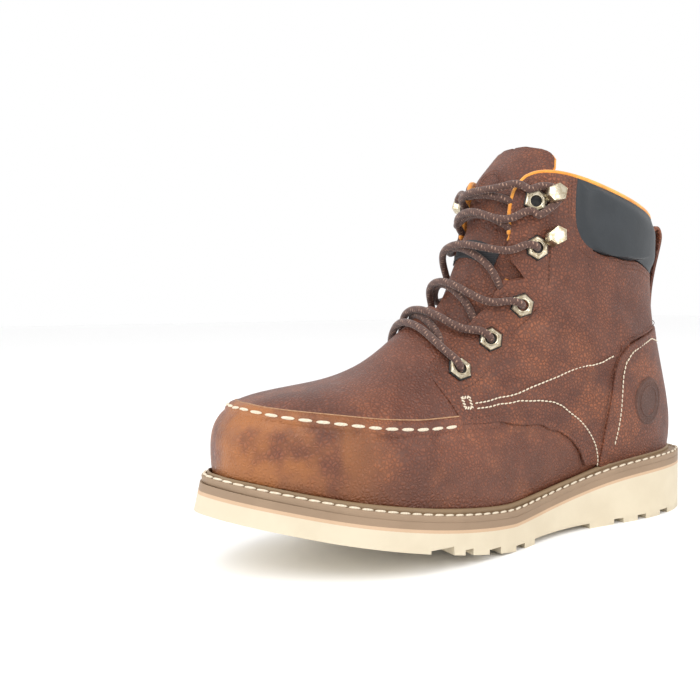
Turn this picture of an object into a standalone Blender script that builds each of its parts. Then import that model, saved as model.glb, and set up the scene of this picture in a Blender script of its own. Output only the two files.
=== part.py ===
"""Wedge sole work boot, the left one of a pair, standing empty.

+X points to the toe, +Y to the outer side of the foot, +Z up. Lengths in the
tables are millimetres, and everything is scaled to metres as it is made.
"""

import math

import bmesh
import bpy
import numpy as np
from mathutils import Matrix, Vector

MM = 0.001
GAP = 0.3
# The tables' y is measured from the last's own middle line. This centres the whole boot.
Y_SHIFT = -2.4

# The sole, from heel to toe
LENGTH = 306.0
SPRING_START = 3.0
SPRING_RISE = 32.0
SPRING_POWER = 1.2
TOE_LEAN_START = 90.0
WELT_THICK = 3.2
MIDSOLE_THICK = 3.6
LINE_THICK = 1.0
LIP_RISE = 2.6
LIP_WIDE = 2.2
VAMP_INSET = 7.3
HEEL_INSET = 9.7
INSET_FROM, INSET_TO = -78.0, -48.0
GROOVE_DEEP = 3.0
WAIST_FROM, WAIST_TO = -57.0, -12.0

# The upper
WALL = 1.8
QUARTER_THICK = 1.3
COUNTER_THICK = 2.4
PLUG_THICK = 1.4
PAD_THICK = 4.6
TONGUE_THICK = 4.5
TAG_THICK = 0.8
INSOLE_THICK = 4.0

# Lace, eyelets and hooks
LACE_RADIUS = 2.0
HEX_RADIUS = 6.2
HEX_THICK = 1.6
HEX_HOLE = 2.7
LOOP_WIDE = 22.0
LOOP_THICK = 2.4
CUT_REACH = 80.0
HOOK_HEAD = 10.5
HEAD_RADIUS = 4.8
HEAD_THICK = 5.0
LACE_OVER = 3.2


def table(names, *rows):
    """The rows of a table as one array for each named column."""
    columns = zip(*rows)
    return {name: np.array(column, float) for name, column in zip(names.split(), columns)}


OUTLINE = table(
    "x outer inner",
    (-153, 0, 0),
    (-150, 14, 14),
    (-144, 23, 23),
    (-134, 31, 31),
    (-118, 37, 37),
    (-98, 39.5, 38.5),
    (-72, 38.5, 36),
    (-48, 38, 33),
    (-24, 41.5, 33),
    (0, 49, 37),
    (25, 55, 43.5),
    (48, 58, 49.5),
    (68, 58, 53),
    (87, 55, 53),
    (105, 48.5, 49),
    (121, 38.5, 42),
    (134, 28.5, 33),
    (145, 17, 22),
    (151, 7, 10),
    (153, 0, 0),
)

THICKNESS = table(
    "x thick",
    (-153, 36.2),
    (-110, 35.6),
    (-80, 33.2),
    (-50, 28.0),
    (-22, 23.6),
    (10, 21.0),
    (45, 19.1),
    (100, 17.4),
    (153, 16.3),
)

TREAD = table(
    "start end half_wide",
    (-121, -113, 60),
    (-100, -93, 60),
    (-82, -75, 60),
    (-3, 4, 60),
    (16, 24, 60),
    (35, 40, 60),
    (47, 60, 60),
    (74, 80, 40),
    (94, 100, 34),
    (113, 119, 25),
)

# A section runs from the ridge of the instep (top) down to the sole or the heel (low).
# low_rise is the height above the sole's bed, and wide is where along it the boot is widest.
SECTIONS = table(
    "at top_x top_z low_x low_rise outer inner wide crown side ridge turn",
    (0, 142.5, 64.0, 145.6, 0, 0.3, 0.3, 0.60, 2.4, 2.4, 0, 0),
    (1, 141.2, 70.0, 144.0, 0, 12.0, 14.5, 0.60, 2.5, 2.4, 0, 0),
    (2, 136.0, 76.5, 139.0, 0, 20.5, 24.5, 0.60, 2.7, 2.4, -1, 0),
    (3, 127.0, 81.0, 130.5, 0, 28.0, 33.0, 0.62, 2.9, 2.5, -2, 0),
    (4, 114.0, 84.0, 118.0, 0, 37.5, 40.0, 0.64, 2.9, 2.5, -3, 0),
    (5, 95.0, 86.5, 99.0, 0, 46.5, 46.5, 0.66, 2.7, 2.5, -4, 0),
    (6, 74.0, 90.5, 76.0, 0, 51.0, 48.5, 0.68, 2.4, 2.5, -4, 0),
    (7, 55.0, 100.0, 50.0, 0, 51.5, 45.5, 0.72, 2.05, 2.5, -4, 0.5),
    (8, 37.0, 115.0, 20.0, 0, 48.0, 40.0, 0.74, 1.9, 2.5, -4, 1),
    (9, 19.5, 131.0, -14.0, 0, 41.5, 34.5, 0.74, 1.85, 2.5, -3, 2),
    (10, 12.5, 146.0, -52.0, 0, 38.0, 34.0, 0.66, 2.1, 2.5, -2, 3.5),
    (11, 7.5, 159.0, -92.0, 0, 37.0, 34.5, 0.55, 2.3, 2.5, -1, 5),
    (12, 4.3, 168.0, -124.0, 0, 36.8, 35.0, 0.47, 2.45, 2.4, 0, 6),
    (13, 2.3, 174.0, -143.3, 0, 36.6, 35.2, 0.42, 2.5, 2.3, 0, 6.5),
    (14, 0.8, 178.5, -143.6, 27, 36.6, 35.4, 0.40, 2.5, 2.3, 0, 6.5),
    (15, -1.0, 183.5, -137.5, 56, 36.8, 35.8, 0.38, 2.5, 2.2, 0, 6.5),
    (16, -3.2, 188.5, -130.8, 85, 37.2, 36.4, 0.37, 2.5, 2.2, 0, 6.5),
    (17, -6.0, 194.0, -128.8, 115, 37.6, 37.0, 0.36, 2.5, 2.2, 0, 6.5),
    (18, -9.5, 200.0, -129.2, 142, 38.0, 37.4, 0.36, 2.5, 2.2, 0, 6.5),
    (19, -18.5, 209.0, -131.0, 155, 38.2, 37.6, 0.36, 2.5, 2.2, 0, 6.5),
    (20, -27.5, 218.0, -133.0, 166, 38.4, 37.8, 0.36, 2.5, 2.2, 0, 6.5),
)
HEEL_AT = 13.0
COLLAR_AT = 18.0
TURN_ABOUT = -95.0
RIDGE_SHARE = 0.62

# The edge of the throat: how far round the section it lies, from the ridge
THROAT = table(
    "at v",
    (6.9, 0.0),
    (7.0, 0.075),
    (7.2, 0.14),
    (7.5, 0.19),
    (7.8, 0.215),
    (8.2, 0.21),
    (8.7, 0.206),
    (9.4, 0.22),
    (10.0, 0.238),
    (10.7, 0.245),
    (11.4, 0.222),
    (12.0, 0.203),
    (14.0, 0.185),
    (15.4, 0.181),
    (16.4, 0.185),
    (17.0, 0.203),
    (17.5, 0.232),
    (17.8, 0.28),
    (18.0, 0.34),
)

# Edges of the leather pieces, as seen from the side, that the panels are cut along
QUARTER_FRONT = table(
    "x z", (28, 113), (37.3, 101.5), (41.2, 97.2), (43.2, 94), (43.8, 90), (42.4, 86), (39.9, 81), (34.4, 67.6)
)
QUARTER_LOW = table(
    "x z", (32, 66.8), (8.5, 67.1), (-8, 66), (-19.2, 63.5), (-32, 58.5), (-42.3, 52.3), (-51, 45), (-55.5, 37)
)
COUNTER_EDGE = table(
    "x z", (-66, 20), (-66.5, 44), (-68.5, 62), (-71.5, 80), (-74, 92), (-80, 100.5), (-90, 104.5), (-170, 125)
)
PLUG_SEAM = table(
    "x z", (150, 86), (127.5, 80.0), (118, 78.6), (98, 76), (77, 73), (58, 71.5), (30, 71.8)
)
PAD_EDGE = table(
    "x z", (-40.5, 240), (-40.5, 167), (-43, 161), (-48, 157.5), (-57, 155.3), (-69, 154), (-95, 153), (-170, 151)
)

# Half the tongue's width, as the place round the section that it reaches
TONGUE = table(
    "at v",
    (6.5, 0.10),
    (6.9, 0.17),
    (7.5, 0.23),
    (8, 0.26),
    (8.7, 0.29),
    (9.4, 0.31),
    (10, 0.32),
    (11.4, 0.34),
    (13, 0.35),
    (15, 0.36),
    (16.4, 0.36),
    (17.4, 0.36),
    (18, 0.35),
    (18.6, 0.33),
    (19.1, 0.29),
    (19.4, 0.24),
    (19.6, 0.17),
    (19.7, 0.07),
)
TONGUE_FRONT = 9.0
TONGUE_SINK = 2.0
TONGUE_BULGE = 1.4
TONGUE_CLEAR = 0.16
TAG_FROM, TAG_TO, TAG_MIDDLE, TAG_REACH = 10.6, 11.3, 0.03, 0.155

# The pull loop's middle line, from the heel up, over and down to the pad
LOOP = table(
    "x z",
    (-134.2, 119),
    (-134.6, 130),
    (-136.6, 143),
    (-140.2, 156),
    (-143.2, 166),
    (-143.4, 172),
    (-140.8, 175.2),
    (-137.6, 173),
    (-136.1, 166),
    (-135.8, 158),
)

# Places of the sections' lines along the upper, and how many lines run round each half
STATIONS = (
    0, 0.5, 1, 1.5, 2, 2.5, 3, 3.7, 4.4, 5.2, 6, 6.9, 7, 7.2, 7.5, 7.8, 8.2, 8.7, 9.4, 10, 10.7,
    11.4, 12, 12.6, 13, 13.8, 14.6, 15.4, 16.4, 17, 17.5, 17.8, 18,
)  # fmt: skip
ROUND = 11

# Where the fittings sit on the upper
EYELETS = table("at v", (8.2, 0.301), (9.26, 0.295), (10.52, 0.336))
HOOKS = table("at v", (12.89, 0.312), (15.88, 0.295))


class Spline:
    """A smooth curve through a table's rows, with continuous bending."""

    def __init__(self, at, value):
        self.at, self.value = np.asarray(at, float), np.asarray(value, float)
        count, step = len(self.at), np.diff(self.at)
        slope = np.diff(self.value) / step
        matrix, right = np.eye(count), np.zeros(count)
        for i in range(1, count - 1):
            matrix[i, i - 1 : i + 2] = step[i - 1], 2 * (step[i - 1] + step[i]), step[i]
            right[i] = 6 * (slope[i] - slope[i - 1])
        self.bend = np.linalg.solve(matrix, right)

    def __call__(self, where):
        where = np.clip(where, self.at[0], self.at[-1])
        i = np.clip(np.searchsorted(self.at, where) - 1, 0, len(self.at) - 2)
        step = self.at[i + 1] - self.at[i]
        a, b = (self.at[i + 1] - where) / step, (where - self.at[i]) / step
        bending = (a**3 - a) * self.bend[i] + (b**3 - b) * self.bend[i + 1]
        return a * self.value[i] + b * self.value[i + 1] + bending * step**2 / 6


def outline_side(side):
    """Half of the sole's outline as a dense run of points from heel to toe."""
    x, y = OUTLINE["x"], OUTLINE[side]
    run = np.concatenate([[0], np.cumsum(np.hypot(np.diff(x), np.diff(y)))])
    # A mirrored row at each end makes the outline cross the middle squarely.
    run = np.concatenate([[-run[1]], run, [2 * run[-1] - run[-2]]])
    x = np.concatenate([[x[1]], x, [x[-2]]])
    y = np.concatenate([[-y[1]], y, [-y[-2]]])
    along = np.linspace(0, run[-2], 400)
    return Spline(run, x)(along), Spline(run, y)(along)


OUTLINES = {side: outline_side(side) for side in ("outer", "inner")}


def half_width(x, side, inset=0.0):
    """How far the outline, drawn in by inset, stands from the middle at x."""
    line_x, line_y = OUTLINES[side]
    run_x, run_y = np.gradient(line_x), np.gradient(line_y)
    long = np.hypot(run_x, run_y)
    inner_x, inner_y = line_x + inset * run_y / long, line_y - inset * run_x / long
    return np.interp(x, inner_x, np.maximum(inner_y, 0.0))


THICK = Spline(THICKNESS["x"], THICKNESS["thick"])


def ground(x):
    """Height of the sole's underside, which rises to the toe."""
    along = np.clip((x - SPRING_START) / (LENGTH / 2 - SPRING_START), 0, 2)
    return SPRING_RISE * along**SPRING_POWER


def bent(x, height):
    """The sole's spring: a point above the underside at x leans back with the toe."""
    slope = (ground(x + 1) - ground(x - 1)) / 2
    lean = slope * np.clip((x - TOE_LEAN_START) / (LENGTH / 2 - TOE_LEAN_START), 0, 1)
    return x - lean * height, ground(x) + height


def bed_height(x):
    """Thickness of the sole under the upper: everything but the welt."""
    return THICK(x) - WELT_THICK


COLUMNS = {name: Spline(SECTIONS["at"], SECTIONS[name]) for name in SECTIONS}


def section(at):
    """The section at this place: its two ends in side view and its other sizes."""
    row = {name: column(at) for name, column in COLUMNS.items()}
    rise = np.interp(at, SECTIONS["at"], SECTIONS["low_rise"])
    row["foot_x"] = row["low_x"]
    row["low_x"], row["low_z"] = bent(row["foot_x"], bed_height(row["foot_x"]) + 3 * GAP + rise)
    return row


def feather_inset(x):
    """How far in from the sole's edge the upper meets it: further round the heel."""
    part = np.clip((x - INSET_FROM) / (INSET_TO - INSET_FROM), 0, 1)
    return HEEL_INSET + (VAMP_INSET - HEEL_INSET) * part * part * (3 - 2 * part)


def feather(x, side):
    """Half width of the line where the upper meets the sole."""
    inset = feather_inset(x)
    far, near = half_width(x, side, HEEL_INSET), half_width(x, side, VAMP_INSET)
    part = (inset - VAMP_INSET) / (HEEL_INSET - VAMP_INSET)
    return near + (far - near) * part


def skin(at, v, lift=0.0):
    """A point of the upper. v runs from the ridge (0) to the sole or heel seam (1)
    on the outer side, and to -1 on the inner side. lift is the distance outwards."""
    at, v = np.broadcast_arrays(np.asarray(at, float), np.asarray(v, float))
    middle = shape(at, v)
    if np.isscalar(lift) and lift == 0.0:
        return middle
    return middle + skin_normal(at, v) * np.asarray(lift)[..., None]


def skin_normal(at, v):
    step = 0.004
    side = np.where(v < 0, -1.0, 1.0)
    inner = np.clip(np.abs(v), 0.02, 0.985)
    first = np.clip(at, 0.12, None)
    across = shape(first, side * (inner + step)) - shape(first, side * (inner - step))
    along = shape(first + 0.05, side * inner) - shape(first - 0.05, side * inner)
    normal = np.cross(across, along) * side[..., None]
    # On the ridge and on the heel seam the two halves share one direction.
    seam = (np.abs(v) < 1e-6) | ((np.abs(v) > 1 - 1e-6) & (at >= HEEL_AT))
    seam |= at < 0.05
    normal[..., 1] = np.where(seam, 0.0, normal[..., 1])
    return normal / np.linalg.norm(normal, axis=-1)[..., None]


def shape(at, v):
    row = section(at)
    side, around = np.where(v < 0, -1.0, 1.0), np.abs(v)
    widest = np.where(v < 0, row["inner"], row["outer"])
    base = np.where(v < 0, feather(row["foot_x"], "inner"), feather(row["foot_x"], "outer"))
    base = base * ((at < HEEL_AT) & (at > 1e-6))
    widest = np.maximum(widest, base + 0.05)
    split = 0.58
    upper = np.clip(around / split, 0, 1) * math.pi / 2
    down = row["wide"] * (1 - np.cos(upper) ** (2 / row["crown"]))
    out = widest * np.sin(upper) ** (2 / row["crown"])
    # Below the widest place the section turns in to the feather, or round to the heel seam.
    ratio = np.clip(base / widest, 0, 0.999)
    reach = (1 - row["wide"]) / (1 - ratio ** row["side"]) ** (1 / row["side"])
    last = np.arccos(ratio ** (row["side"] / 2))
    lower = np.clip((around - split) / (1 - split), 0, 1) * last
    down = np.where(around > split, row["wide"] + reach * np.sin(lower) ** (2 / row["side"]), down)
    out = np.where(around > split, widest * np.cos(lower) ** (2 / row["side"]), out)
    # The first section is the seam at the very tip of the toe.
    out = np.where(at < 1e-6, 0.0, out)
    x = row["top_x"] + (row["low_x"] - row["top_x"]) * down
    z = row["top_z"] + (row["low_z"] - row["top_z"]) * down
    y = side * out + row["ridge"] * np.clip(1 - down / RIDGE_SHARE, 0, 1)
    turn = np.radians(row["turn"]) * np.clip((z - 40) / 60, 0, 1)
    ahead = x - TURN_ABOUT
    x, y = TURN_ABOUT + ahead * np.cos(turn) - y * np.sin(turn), ahead * np.sin(turn) + y * np.cos(turn)
    return np.stack([x, y, z], axis=-1)


def bed(x):
    """Height of the surface that the upper stands on."""
    run = np.linspace(-LENGTH / 2, LENGTH / 2, 200)
    bed_x, bed_z = bent(run, bed_height(run))
    return np.interp(x, bed_x, bed_z)


def v_at_height(at, side, height):
    """How far down the section to go to be this high above the bed."""
    v = np.linspace(1.0, 0.6, 60)
    points = shape(at[:, None] + 0 * v, side * v + 0 * at[:, None])
    rise = points[..., 2] - bed(points[..., 0])
    return np.array([np.interp(height, row, v) for row in rise])


def material(name, colour, roughness, metallic=0.0):
    made = bpy.data.materials.new(name)
    made.use_nodes = True
    shader = made.node_tree.nodes["Principled BSDF"]
    shader.inputs["Base Color"].default_value = (*colour, 1)
    shader.inputs["Roughness"].default_value = roughness
    shader.inputs["Metallic"].default_value = metallic
    made.diffuse_color = (*colour, 1)
    return made


def add(name, mesh, finish, hidden=False):
    mesh.transform(Matrix.Translation((0, Y_SHIFT * MM, 0)))
    piece = bpy.data.objects.new(name, mesh)
    mesh.materials.append(finish)
    (CUTTERS if hidden else BOOT).objects.link(piece)
    if hidden:
        piece.hide_render = True
        piece.display_type = "WIRE"
    return piece


def finished(bm, name, finish, hidden=False, closed=True):
    if closed:
        bmesh.ops.remove_doubles(bm, verts=bm.verts, dist=0.02 * MM)
        bmesh.ops.dissolve_degenerate(bm, edges=bm.edges, dist=0.01 * MM)
        bmesh.ops.recalc_face_normals(bm, faces=bm.faces)
    mesh = bpy.data.meshes.new(name)
    bm.to_mesh(mesh)
    bm.free()
    mesh.shade_smooth()
    mesh.set_sharp_from_angle(angle=math.radians(40))
    return add(name, mesh, finish, hidden)


def grid(columns, rows, bm=None):
    """A flat grid whose vertices remember their place, s and t, from 0 to 1."""
    bm = bm or bmesh.new()
    place = bm.verts.layers.float_vector.get("place") or bm.verts.layers.float_vector.new("place")
    made = bmesh.ops.create_grid(bm, x_segments=columns, y_segments=rows, size=0.5)["verts"]
    low = min(vert.co.x for vert in made)
    size = max(vert.co.x for vert in made) - low
    for vert in made:
        vert[place] = (vert.co.x - low) / size, (vert.co.y - low) / size, 0
    return bm, made


def move(bm, verts, where):
    """Bends a grid's vertices to where(s, t), in millimetres."""
    place = bm.verts.layers.float_vector["place"]
    s, t, _ = np.array([vert[place] for vert in verts]).T
    for vert, point in zip(verts, where(s, t)):
        vert.co = Vector(point * MM)


def sheet(columns, rows, where, bm=None):
    bm, made = grid(columns, rows, bm)
    move(bm, made, where)
    return bm


def slab(columns, rows, low, high):
    """A closed slab between two sheets that share their outline."""
    bm, bottom = grid(columns, rows)
    raised = bmesh.ops.extrude_face_region(bm, geom=list(bm.faces), use_keep_orig=True)["geom"]
    top = [item for item in raised if isinstance(item, bmesh.types.BMVert)]
    move(bm, bottom, low)
    move(bm, top, high)
    return bm


def sole_place(height, inset=0.0, start=-LENGTH / 2, end=LENGTH / 2):
    """Places a sheet over the sole's plan, at a height above its underside."""

    def place(s, t):
        reach = (end - start) / 2 - inset
        x = (start + end) / 2 - reach * np.cos(math.pi * s)
        outer, inner = half_width(x, "outer", inset), half_width(x, "inner", inset)
        ends = (s < 1e-6) | (s > 1 - 1e-6)
        y = np.where(ends, 0.0, -inner + (inner + outer) * t)
        bent_x, z = bent(x, height(x))
        return np.stack([bent_x, y, z], axis=-1)

    return place


def box(name, x_span, y_span, z_span):
    bm = bmesh.new()
    bmesh.ops.create_cube(bm, size=MM)
    size = [high - low for low, high in (x_span, y_span, z_span)]
    middle = [(high + low) / 2 for low, high in (x_span, y_span, z_span)]
    bmesh.ops.scale(bm, vec=size, verts=bm.verts)
    bmesh.ops.translate(bm, vec=Vector(middle) * MM, verts=bm.verts)
    return finished(bm, name, HIDDEN, hidden=True)


def cut(piece, cutter, operation="DIFFERENCE"):
    modifier = piece.modifiers.new(cutter.name, "BOOLEAN")
    modifier.operation = operation
    modifier.object = cutter
    modifier.solver = "EXACT"


def make_sole():
    """The wedge, the thin line on it, the midsole and the insole."""
    line_low = WELT_THICK + MIDSOLE_THICK + LINE_THICK + 2 * GAP

    def wedge_top(x):
        return THICK(x) - line_low

    outsole = finished(
        slab(36, 3, sole_place(lambda x: 0 * x), sole_place(wedge_top)), "outsole", CREAM
    )
    for number, (start, end, half) in enumerate(zip(TREAD["start"], TREAD["end"], TREAD["half_wide"])):
        low = float(ground(np.array((start + end) / 2)))
        cut(outsole, box(f"groove_{number}", (start, end), (-half, half), (low - 20, low + GROOVE_DEEP)))
    cut(outsole, box("waist", (WAIST_FROM, WAIST_TO), (-60, 60), (-20, GROOVE_DEEP)))

    def layer(name, drop, thick, finish, inset=0.0):
        def under(x):
            return THICK(x) - drop - thick

        def over(x):
            return THICK(x) - drop

        return finished(
            slab(34, 2, sole_place(under, inset), sole_place(over, inset)), name, finish
        )

    layer("sole_line", line_low - LINE_THICK - GAP, LINE_THICK, PEACH)
    layer("midsole", WELT_THICK, MIDSOLE_THICK, TAUPE)
    insole_inset = HEEL_INSET + WALL + 12 * GAP
    layer("insole", WELT_THICK - INSOLE_THICK - GAP, INSOLE_THICK, LINING, insole_inset)


LIP_TOP = WELT_THICK + LIP_RISE
# More places round the heel's corners, where the strip bends most
WELT_EXTRA = (12.3, 12.8, 12.92)


def welt_line(at, side, height):
    """A point beside the upper at this height above the bed, and the way out from it."""
    v = v_at_height(at, side, height)
    tip = 1 - np.clip(np.abs(shape(at, side * v)[:, 1]) / 25, 0, 1)
    point = skin(at, side * v, 2.5 * GAP + 1.7 * tip)
    run = np.gradient(point[:, :2], axis=0)
    out = np.stack([-run[:, 1], run[:, 0]], axis=1) * -side
    out[[0, -1], 1] = 0.0
    return point, out / np.linalg.norm(out, axis=1)[:, None]


def outline_beside(point, side):
    """The nearest place on the sole's outline, level with its top edge."""
    line_x, line_y = OUTLINES["outer" if side > 0 else "inner"]
    top_x, top_z = bent(line_x, THICK(line_x))
    far = (point[:, :1] - top_x) ** 2 + (point[:, 1:2] - side * line_y) ** 2
    near = np.argmin(far, axis=1)
    near[[0, -1]] = len(line_x) - 1, 0
    low_x, low_z = bent(line_x, bed_height(line_x) + 2 * GAP)
    top = np.stack([top_x[near], side * line_y[near], top_z[near]], axis=1)
    low = np.stack([low_x[near], side * line_y[near], low_z[near]], axis=1)
    return low, top


def make_welt():
    """A strip round the upper with a lip that stands against it."""
    stations = np.array(sorted([at for at in STATIONS if at <= HEEL_AT] + list(WELT_EXTRA)))
    raised = stations.copy()
    raised[-1] += (LIP_TOP - GAP) / SECTIONS["low_rise"][14]
    bm = bmesh.new()
    ends = None
    for side in (1, -1):
        foot, _ = welt_line(stations, side, 0.0)
        lip, out = welt_line(raised, side, LIP_TOP)
        low, top = outline_beside(foot, side)
        level = np.stack([foot[:, 0], foot[:, 1], bed(foot[:, 0]) + WELT_THICK], axis=1)
        lip_out = lip.copy()
        lip_out[:, :2] += out * LIP_WIDE * 0.6
        foot[:, 2] = bed(foot[:, 0]) + 2 * GAP
        base = lip.copy()
        base[:, :2] += out * LIP_WIDE
        base[:, 2] = level[:, 2]
        lines = [low, top, base, lip_out, lip, foot, low]
        for line in lines:
            line[[0, -1], 1] = 0.0
        # Both halves end in the same points at the toe and the heel.
        ends = ends or [line[[0, -1]].copy() for line in lines]
        for line, end in zip(lines, ends):
            line[[0, -1]] = end

        def ring(s, t, lines=lines):
            which = np.rint(t * (len(lines) - 1)).astype(int)
            where = np.rint(s * (len(stations) - 1)).astype(int)
            return np.array([lines[i][j] for i, j in zip(which, where)])

        sheet(len(stations) - 1, len(lines) - 1, ring, bm)
    finished(bm, "welt", TAUPE)


def throat_edge(at):
    """How far round from the ridge the leather starts: nothing on the vamp."""
    return np.interp(at, THROAT["at"], THROAT["v"])


def spread(stations, s):
    return np.interp(s, np.linspace(0, 1, len(stations)), stations)


def face_outwards(bm):
    """Turns an open shell so that its faces point away from the middle of the boot."""
    bmesh.ops.remove_doubles(bm, verts=bm.verts, dist=0.02 * MM)
    bmesh.ops.recalc_face_normals(bm, faces=bm.faces)
    outwards = 0.0
    for face in bm.faces:
        centre = face.calc_center_median()
        core = Vector((min(max(centre.x, -95 * MM), 110 * MM), 0, min(centre.z, 60 * MM)))
        outwards += face.calc_area() * face.normal.dot((centre - core).normalized())
    if outwards < 0:
        bmesh.ops.reverse_faces(bm, faces=bm.faces)


def thicken(bm, name, finish, thick, offset):
    """A shell of this thickness: offset is 1 to grow outwards and -1 to grow inwards."""
    face_outwards(bm)
    piece = finished(bm, name, finish, closed=False)
    wall = piece.modifiers.new("wall", "SOLIDIFY")
    wall.thickness = thick * MM
    wall.offset = offset
    wall.use_even_offset = False
    return piece


def shell(name, finish, lift, thick, first=0.0, last=COLLAR_AT, offset=1, skipped=0):
    """Both halves of the upper's own form between two sections, as one wall.
    skipped is how many of the lines nearest to the ridge are left out."""
    stations = [at for at in STATIONS if first <= at <= last]
    bm = bmesh.new()
    for side in (1, -1):

        def place(s, t, side=side):
            at = spread(stations, s)
            edge = throat_edge(at)
            part = (skipped + (ROUND - skipped) * t) / ROUND
            return skin(at, side * (edge + (1 - edge) * part), lift)

        sheet(len(stations) - 1, ROUND - skipped, place, bm)
    # One way of splitting the faces keeps the walls of neighbours parallel.
    bmesh.ops.triangulate(bm, faces=bm.faces, quad_method="FIXED")
    return thicken(bm, name, finish, thick, offset)


def prism(name, points):
    """A cutter that runs right across the boot, with this outline in side view."""
    bm = bmesh.new()
    corners = [bm.verts.new(Vector((x, -CUT_REACH, z)) * MM) for x, z in points]
    face = bm.faces.new(corners)
    raised = bmesh.ops.extrude_face_region(bm, geom=[face])["geom"]
    moved = [item for item in raised if isinstance(item, bmesh.types.BMVert)]
    bmesh.ops.translate(bm, vec=Vector((0, 2 * CUT_REACH, 0)) * MM, verts=moved)
    return finished(bm, name, HIDDEN, hidden=True)


def line(edge, x_shift=0.0, z_shift=0.0):
    return [(x + x_shift, z + z_shift) for x, z in zip(edge["x"], edge["z"])]


def lip_line(start, end):
    """The height that panels stand at: just over the welt's lip."""
    return [(x, float(bed(x)) + LIP_TOP + 2 * GAP) for x in np.linspace(start, end, 6)]


def make_upper():
    """The hollow upper, whose foot clears the sole by a hair."""
    shell("upper", LEATHER, 0.0, WALL, offset=-1)


def make_quarter():
    """The leather that carries the laces, from the vamp round the ankle to the collar."""
    quarter = shell("quarter", LEATHER, GAP, QUARTER_THICK, first=6.9)
    top = line(PAD_EDGE, GAP / 2, -GAP / 2)
    low = [point for point in line(QUARTER_LOW) if point[1] > 34]
    outline = line(QUARTER_FRONT) + low + lip_line(-56.5, -66)
    outline += line(COUNTER_EDGE, GAP / 2, GAP / 2)[1:] + top[::-1] + [(44, 240)]
    cut(quarter, prism("quarter_outline", outline), "INTERSECT")


def make_counter():
    """The stiff leather round the heel, over the quarter's place."""
    counter = shell("heel_counter", LEATHER, GAP, COUNTER_THICK, first=10.0, last=16.4, skipped=4)
    outline = lip_line(-170, -66) + line(COUNTER_EDGE, -GAP / 2, -GAP / 2)[1:]
    cut(counter, prism("counter_outline", outline), "INTERSECT")


def make_plug():
    """The flat top of the moc toe, inside its raised seam."""
    plug = shell("toe_plug", LEATHER, GAP, PLUG_THICK, first=2.0, last=8.7)
    front = [point for point in line(QUARTER_FRONT, GAP, 0) if point[1] > 72]
    outline = line(PLUG_SEAM)[:-1] + front[::-1] + [(60, 160), (150, 160)]
    cut(plug, prism("plug_outline", outline), "INTERSECT")


def make_pad():
    """The black padded band round the collar."""
    pad = shell("collar_pad", PAD, GAP, PAD_THICK, first=13.0)
    outline = line(PAD_EDGE, -GAP / 2, GAP / 2) + [(-170, 240)]
    cut(pad, prism("pad_outline", outline), "INTERSECT")


def make_tongue():
    """The padded tongue, just inside the upper's wall, and its plain tag."""

    def lift(at, v):
        """It dips under the vamp in front and stands up a little between the laces."""
        front = np.clip((TONGUE_FRONT - at) / 1.5, 0, 1)
        swell = np.clip(1 - (v / TONGUE_CLEAR) ** 2, 0, 1) * np.clip((at - TONGUE_FRONT) / 2, 0, 1)
        return TONGUE_BULGE * swell - TONGUE_SINK * front - WALL - 4 * GAP

    def place(s, t):
        at = spread(TONGUE["at"], s)
        v = (2 * t - 1) * np.interp(at, TONGUE["at"], TONGUE["v"])
        return skin(at, v, lift(at, v))

    bm = sheet(len(TONGUE["at"]) - 1, 8, place)
    thicken(bm, "tongue", LEATHER, TONGUE_THICK, -1)

    def tag_place(s, t):
        at = TAG_FROM + (TAG_TO - TAG_FROM) * s
        v = TAG_MIDDLE + (2 * t - 1) * TAG_REACH
        return skin(at, v, lift(at, v) + 3 * GAP)

    thicken(sheet(2, 6, tag_place), "tongue_tag", TAG, TAG_THICK, 1)


def make_loop():
    """A strap folded over on itself at the back of the collar."""
    run = np.concatenate([[0], np.cumsum(np.hypot(np.diff(LOOP["x"]), np.diff(LOOP["z"])))])
    along_x, along_z = Spline(run, LOOP["x"]), Spline(run, LOOP["z"])
    middle = float(skin(16.5, 1.0)[1])

    def place(s, t):
        where = s * run[-1]
        y = middle + (t - 0.5) * LOOP_WIDE
        return np.stack([along_x(where), y, along_z(where)], axis=-1)

    bm = sheet(22, 1, place)
    bmesh.ops.recalc_face_normals(bm, faces=bm.faces)
    strap = finished(bm, "pull_loop", LEATHER, closed=False)
    wall = strap.modifiers.new("wall", "SOLIDIFY")
    wall.thickness = LOOP_THICK * MM
    wall.offset = 0


def seat(at, v, side, lift, aim=(-1.0, 0.0, 0.25)):
    """A frame on the side of the boot: its Z points outwards and its X along aim."""
    point = skin(np.array([at]), np.array([side * v]), lift)[0]
    out = Vector(skin_normal(np.array([at]), np.array([side * v]))[0])
    ahead = Vector(aim)
    ahead = (ahead - out * ahead.dot(out)).normalized()
    frame = Matrix((ahead, out.cross(ahead), out)).transposed().to_4x4()
    return Matrix.Translation(Vector(point) * MM) @ frame


def prism_on(name, sides, radius, thick, matrix, shift=(0, 0, 0), turn=0.0, hidden=True, finish=None):
    """A low prism or disc that stands on its seat."""
    bm = bmesh.new()
    bmesh.ops.create_cone(
        bm, cap_ends=True, segments=sides, radius1=radius * MM, radius2=radius * MM, depth=thick * MM
    )
    lift = Vector(shift) + Vector((0, 0, thick / 2))
    local = Matrix.Translation(lift * MM) @ Matrix.Rotation(turn, 4, "Z")
    bmesh.ops.transform(bm, matrix=matrix @ local, verts=bm.verts)
    return finished(bm, name, finish or HIDDEN, hidden=hidden)


def make_eyelet(name, at, v, side):
    matrix = seat(at, v, side, QUARTER_THICK + 5 * GAP)
    ring = prism_on(name, 6, HEX_RADIUS, HEX_THICK, matrix, hidden=False, finish=BRASS)
    cut(ring, prism_on(name + "_hole", 12, HEX_HOLE, 3 * HEX_THICK, matrix, (0, 0, -HEX_THICK)))


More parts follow.
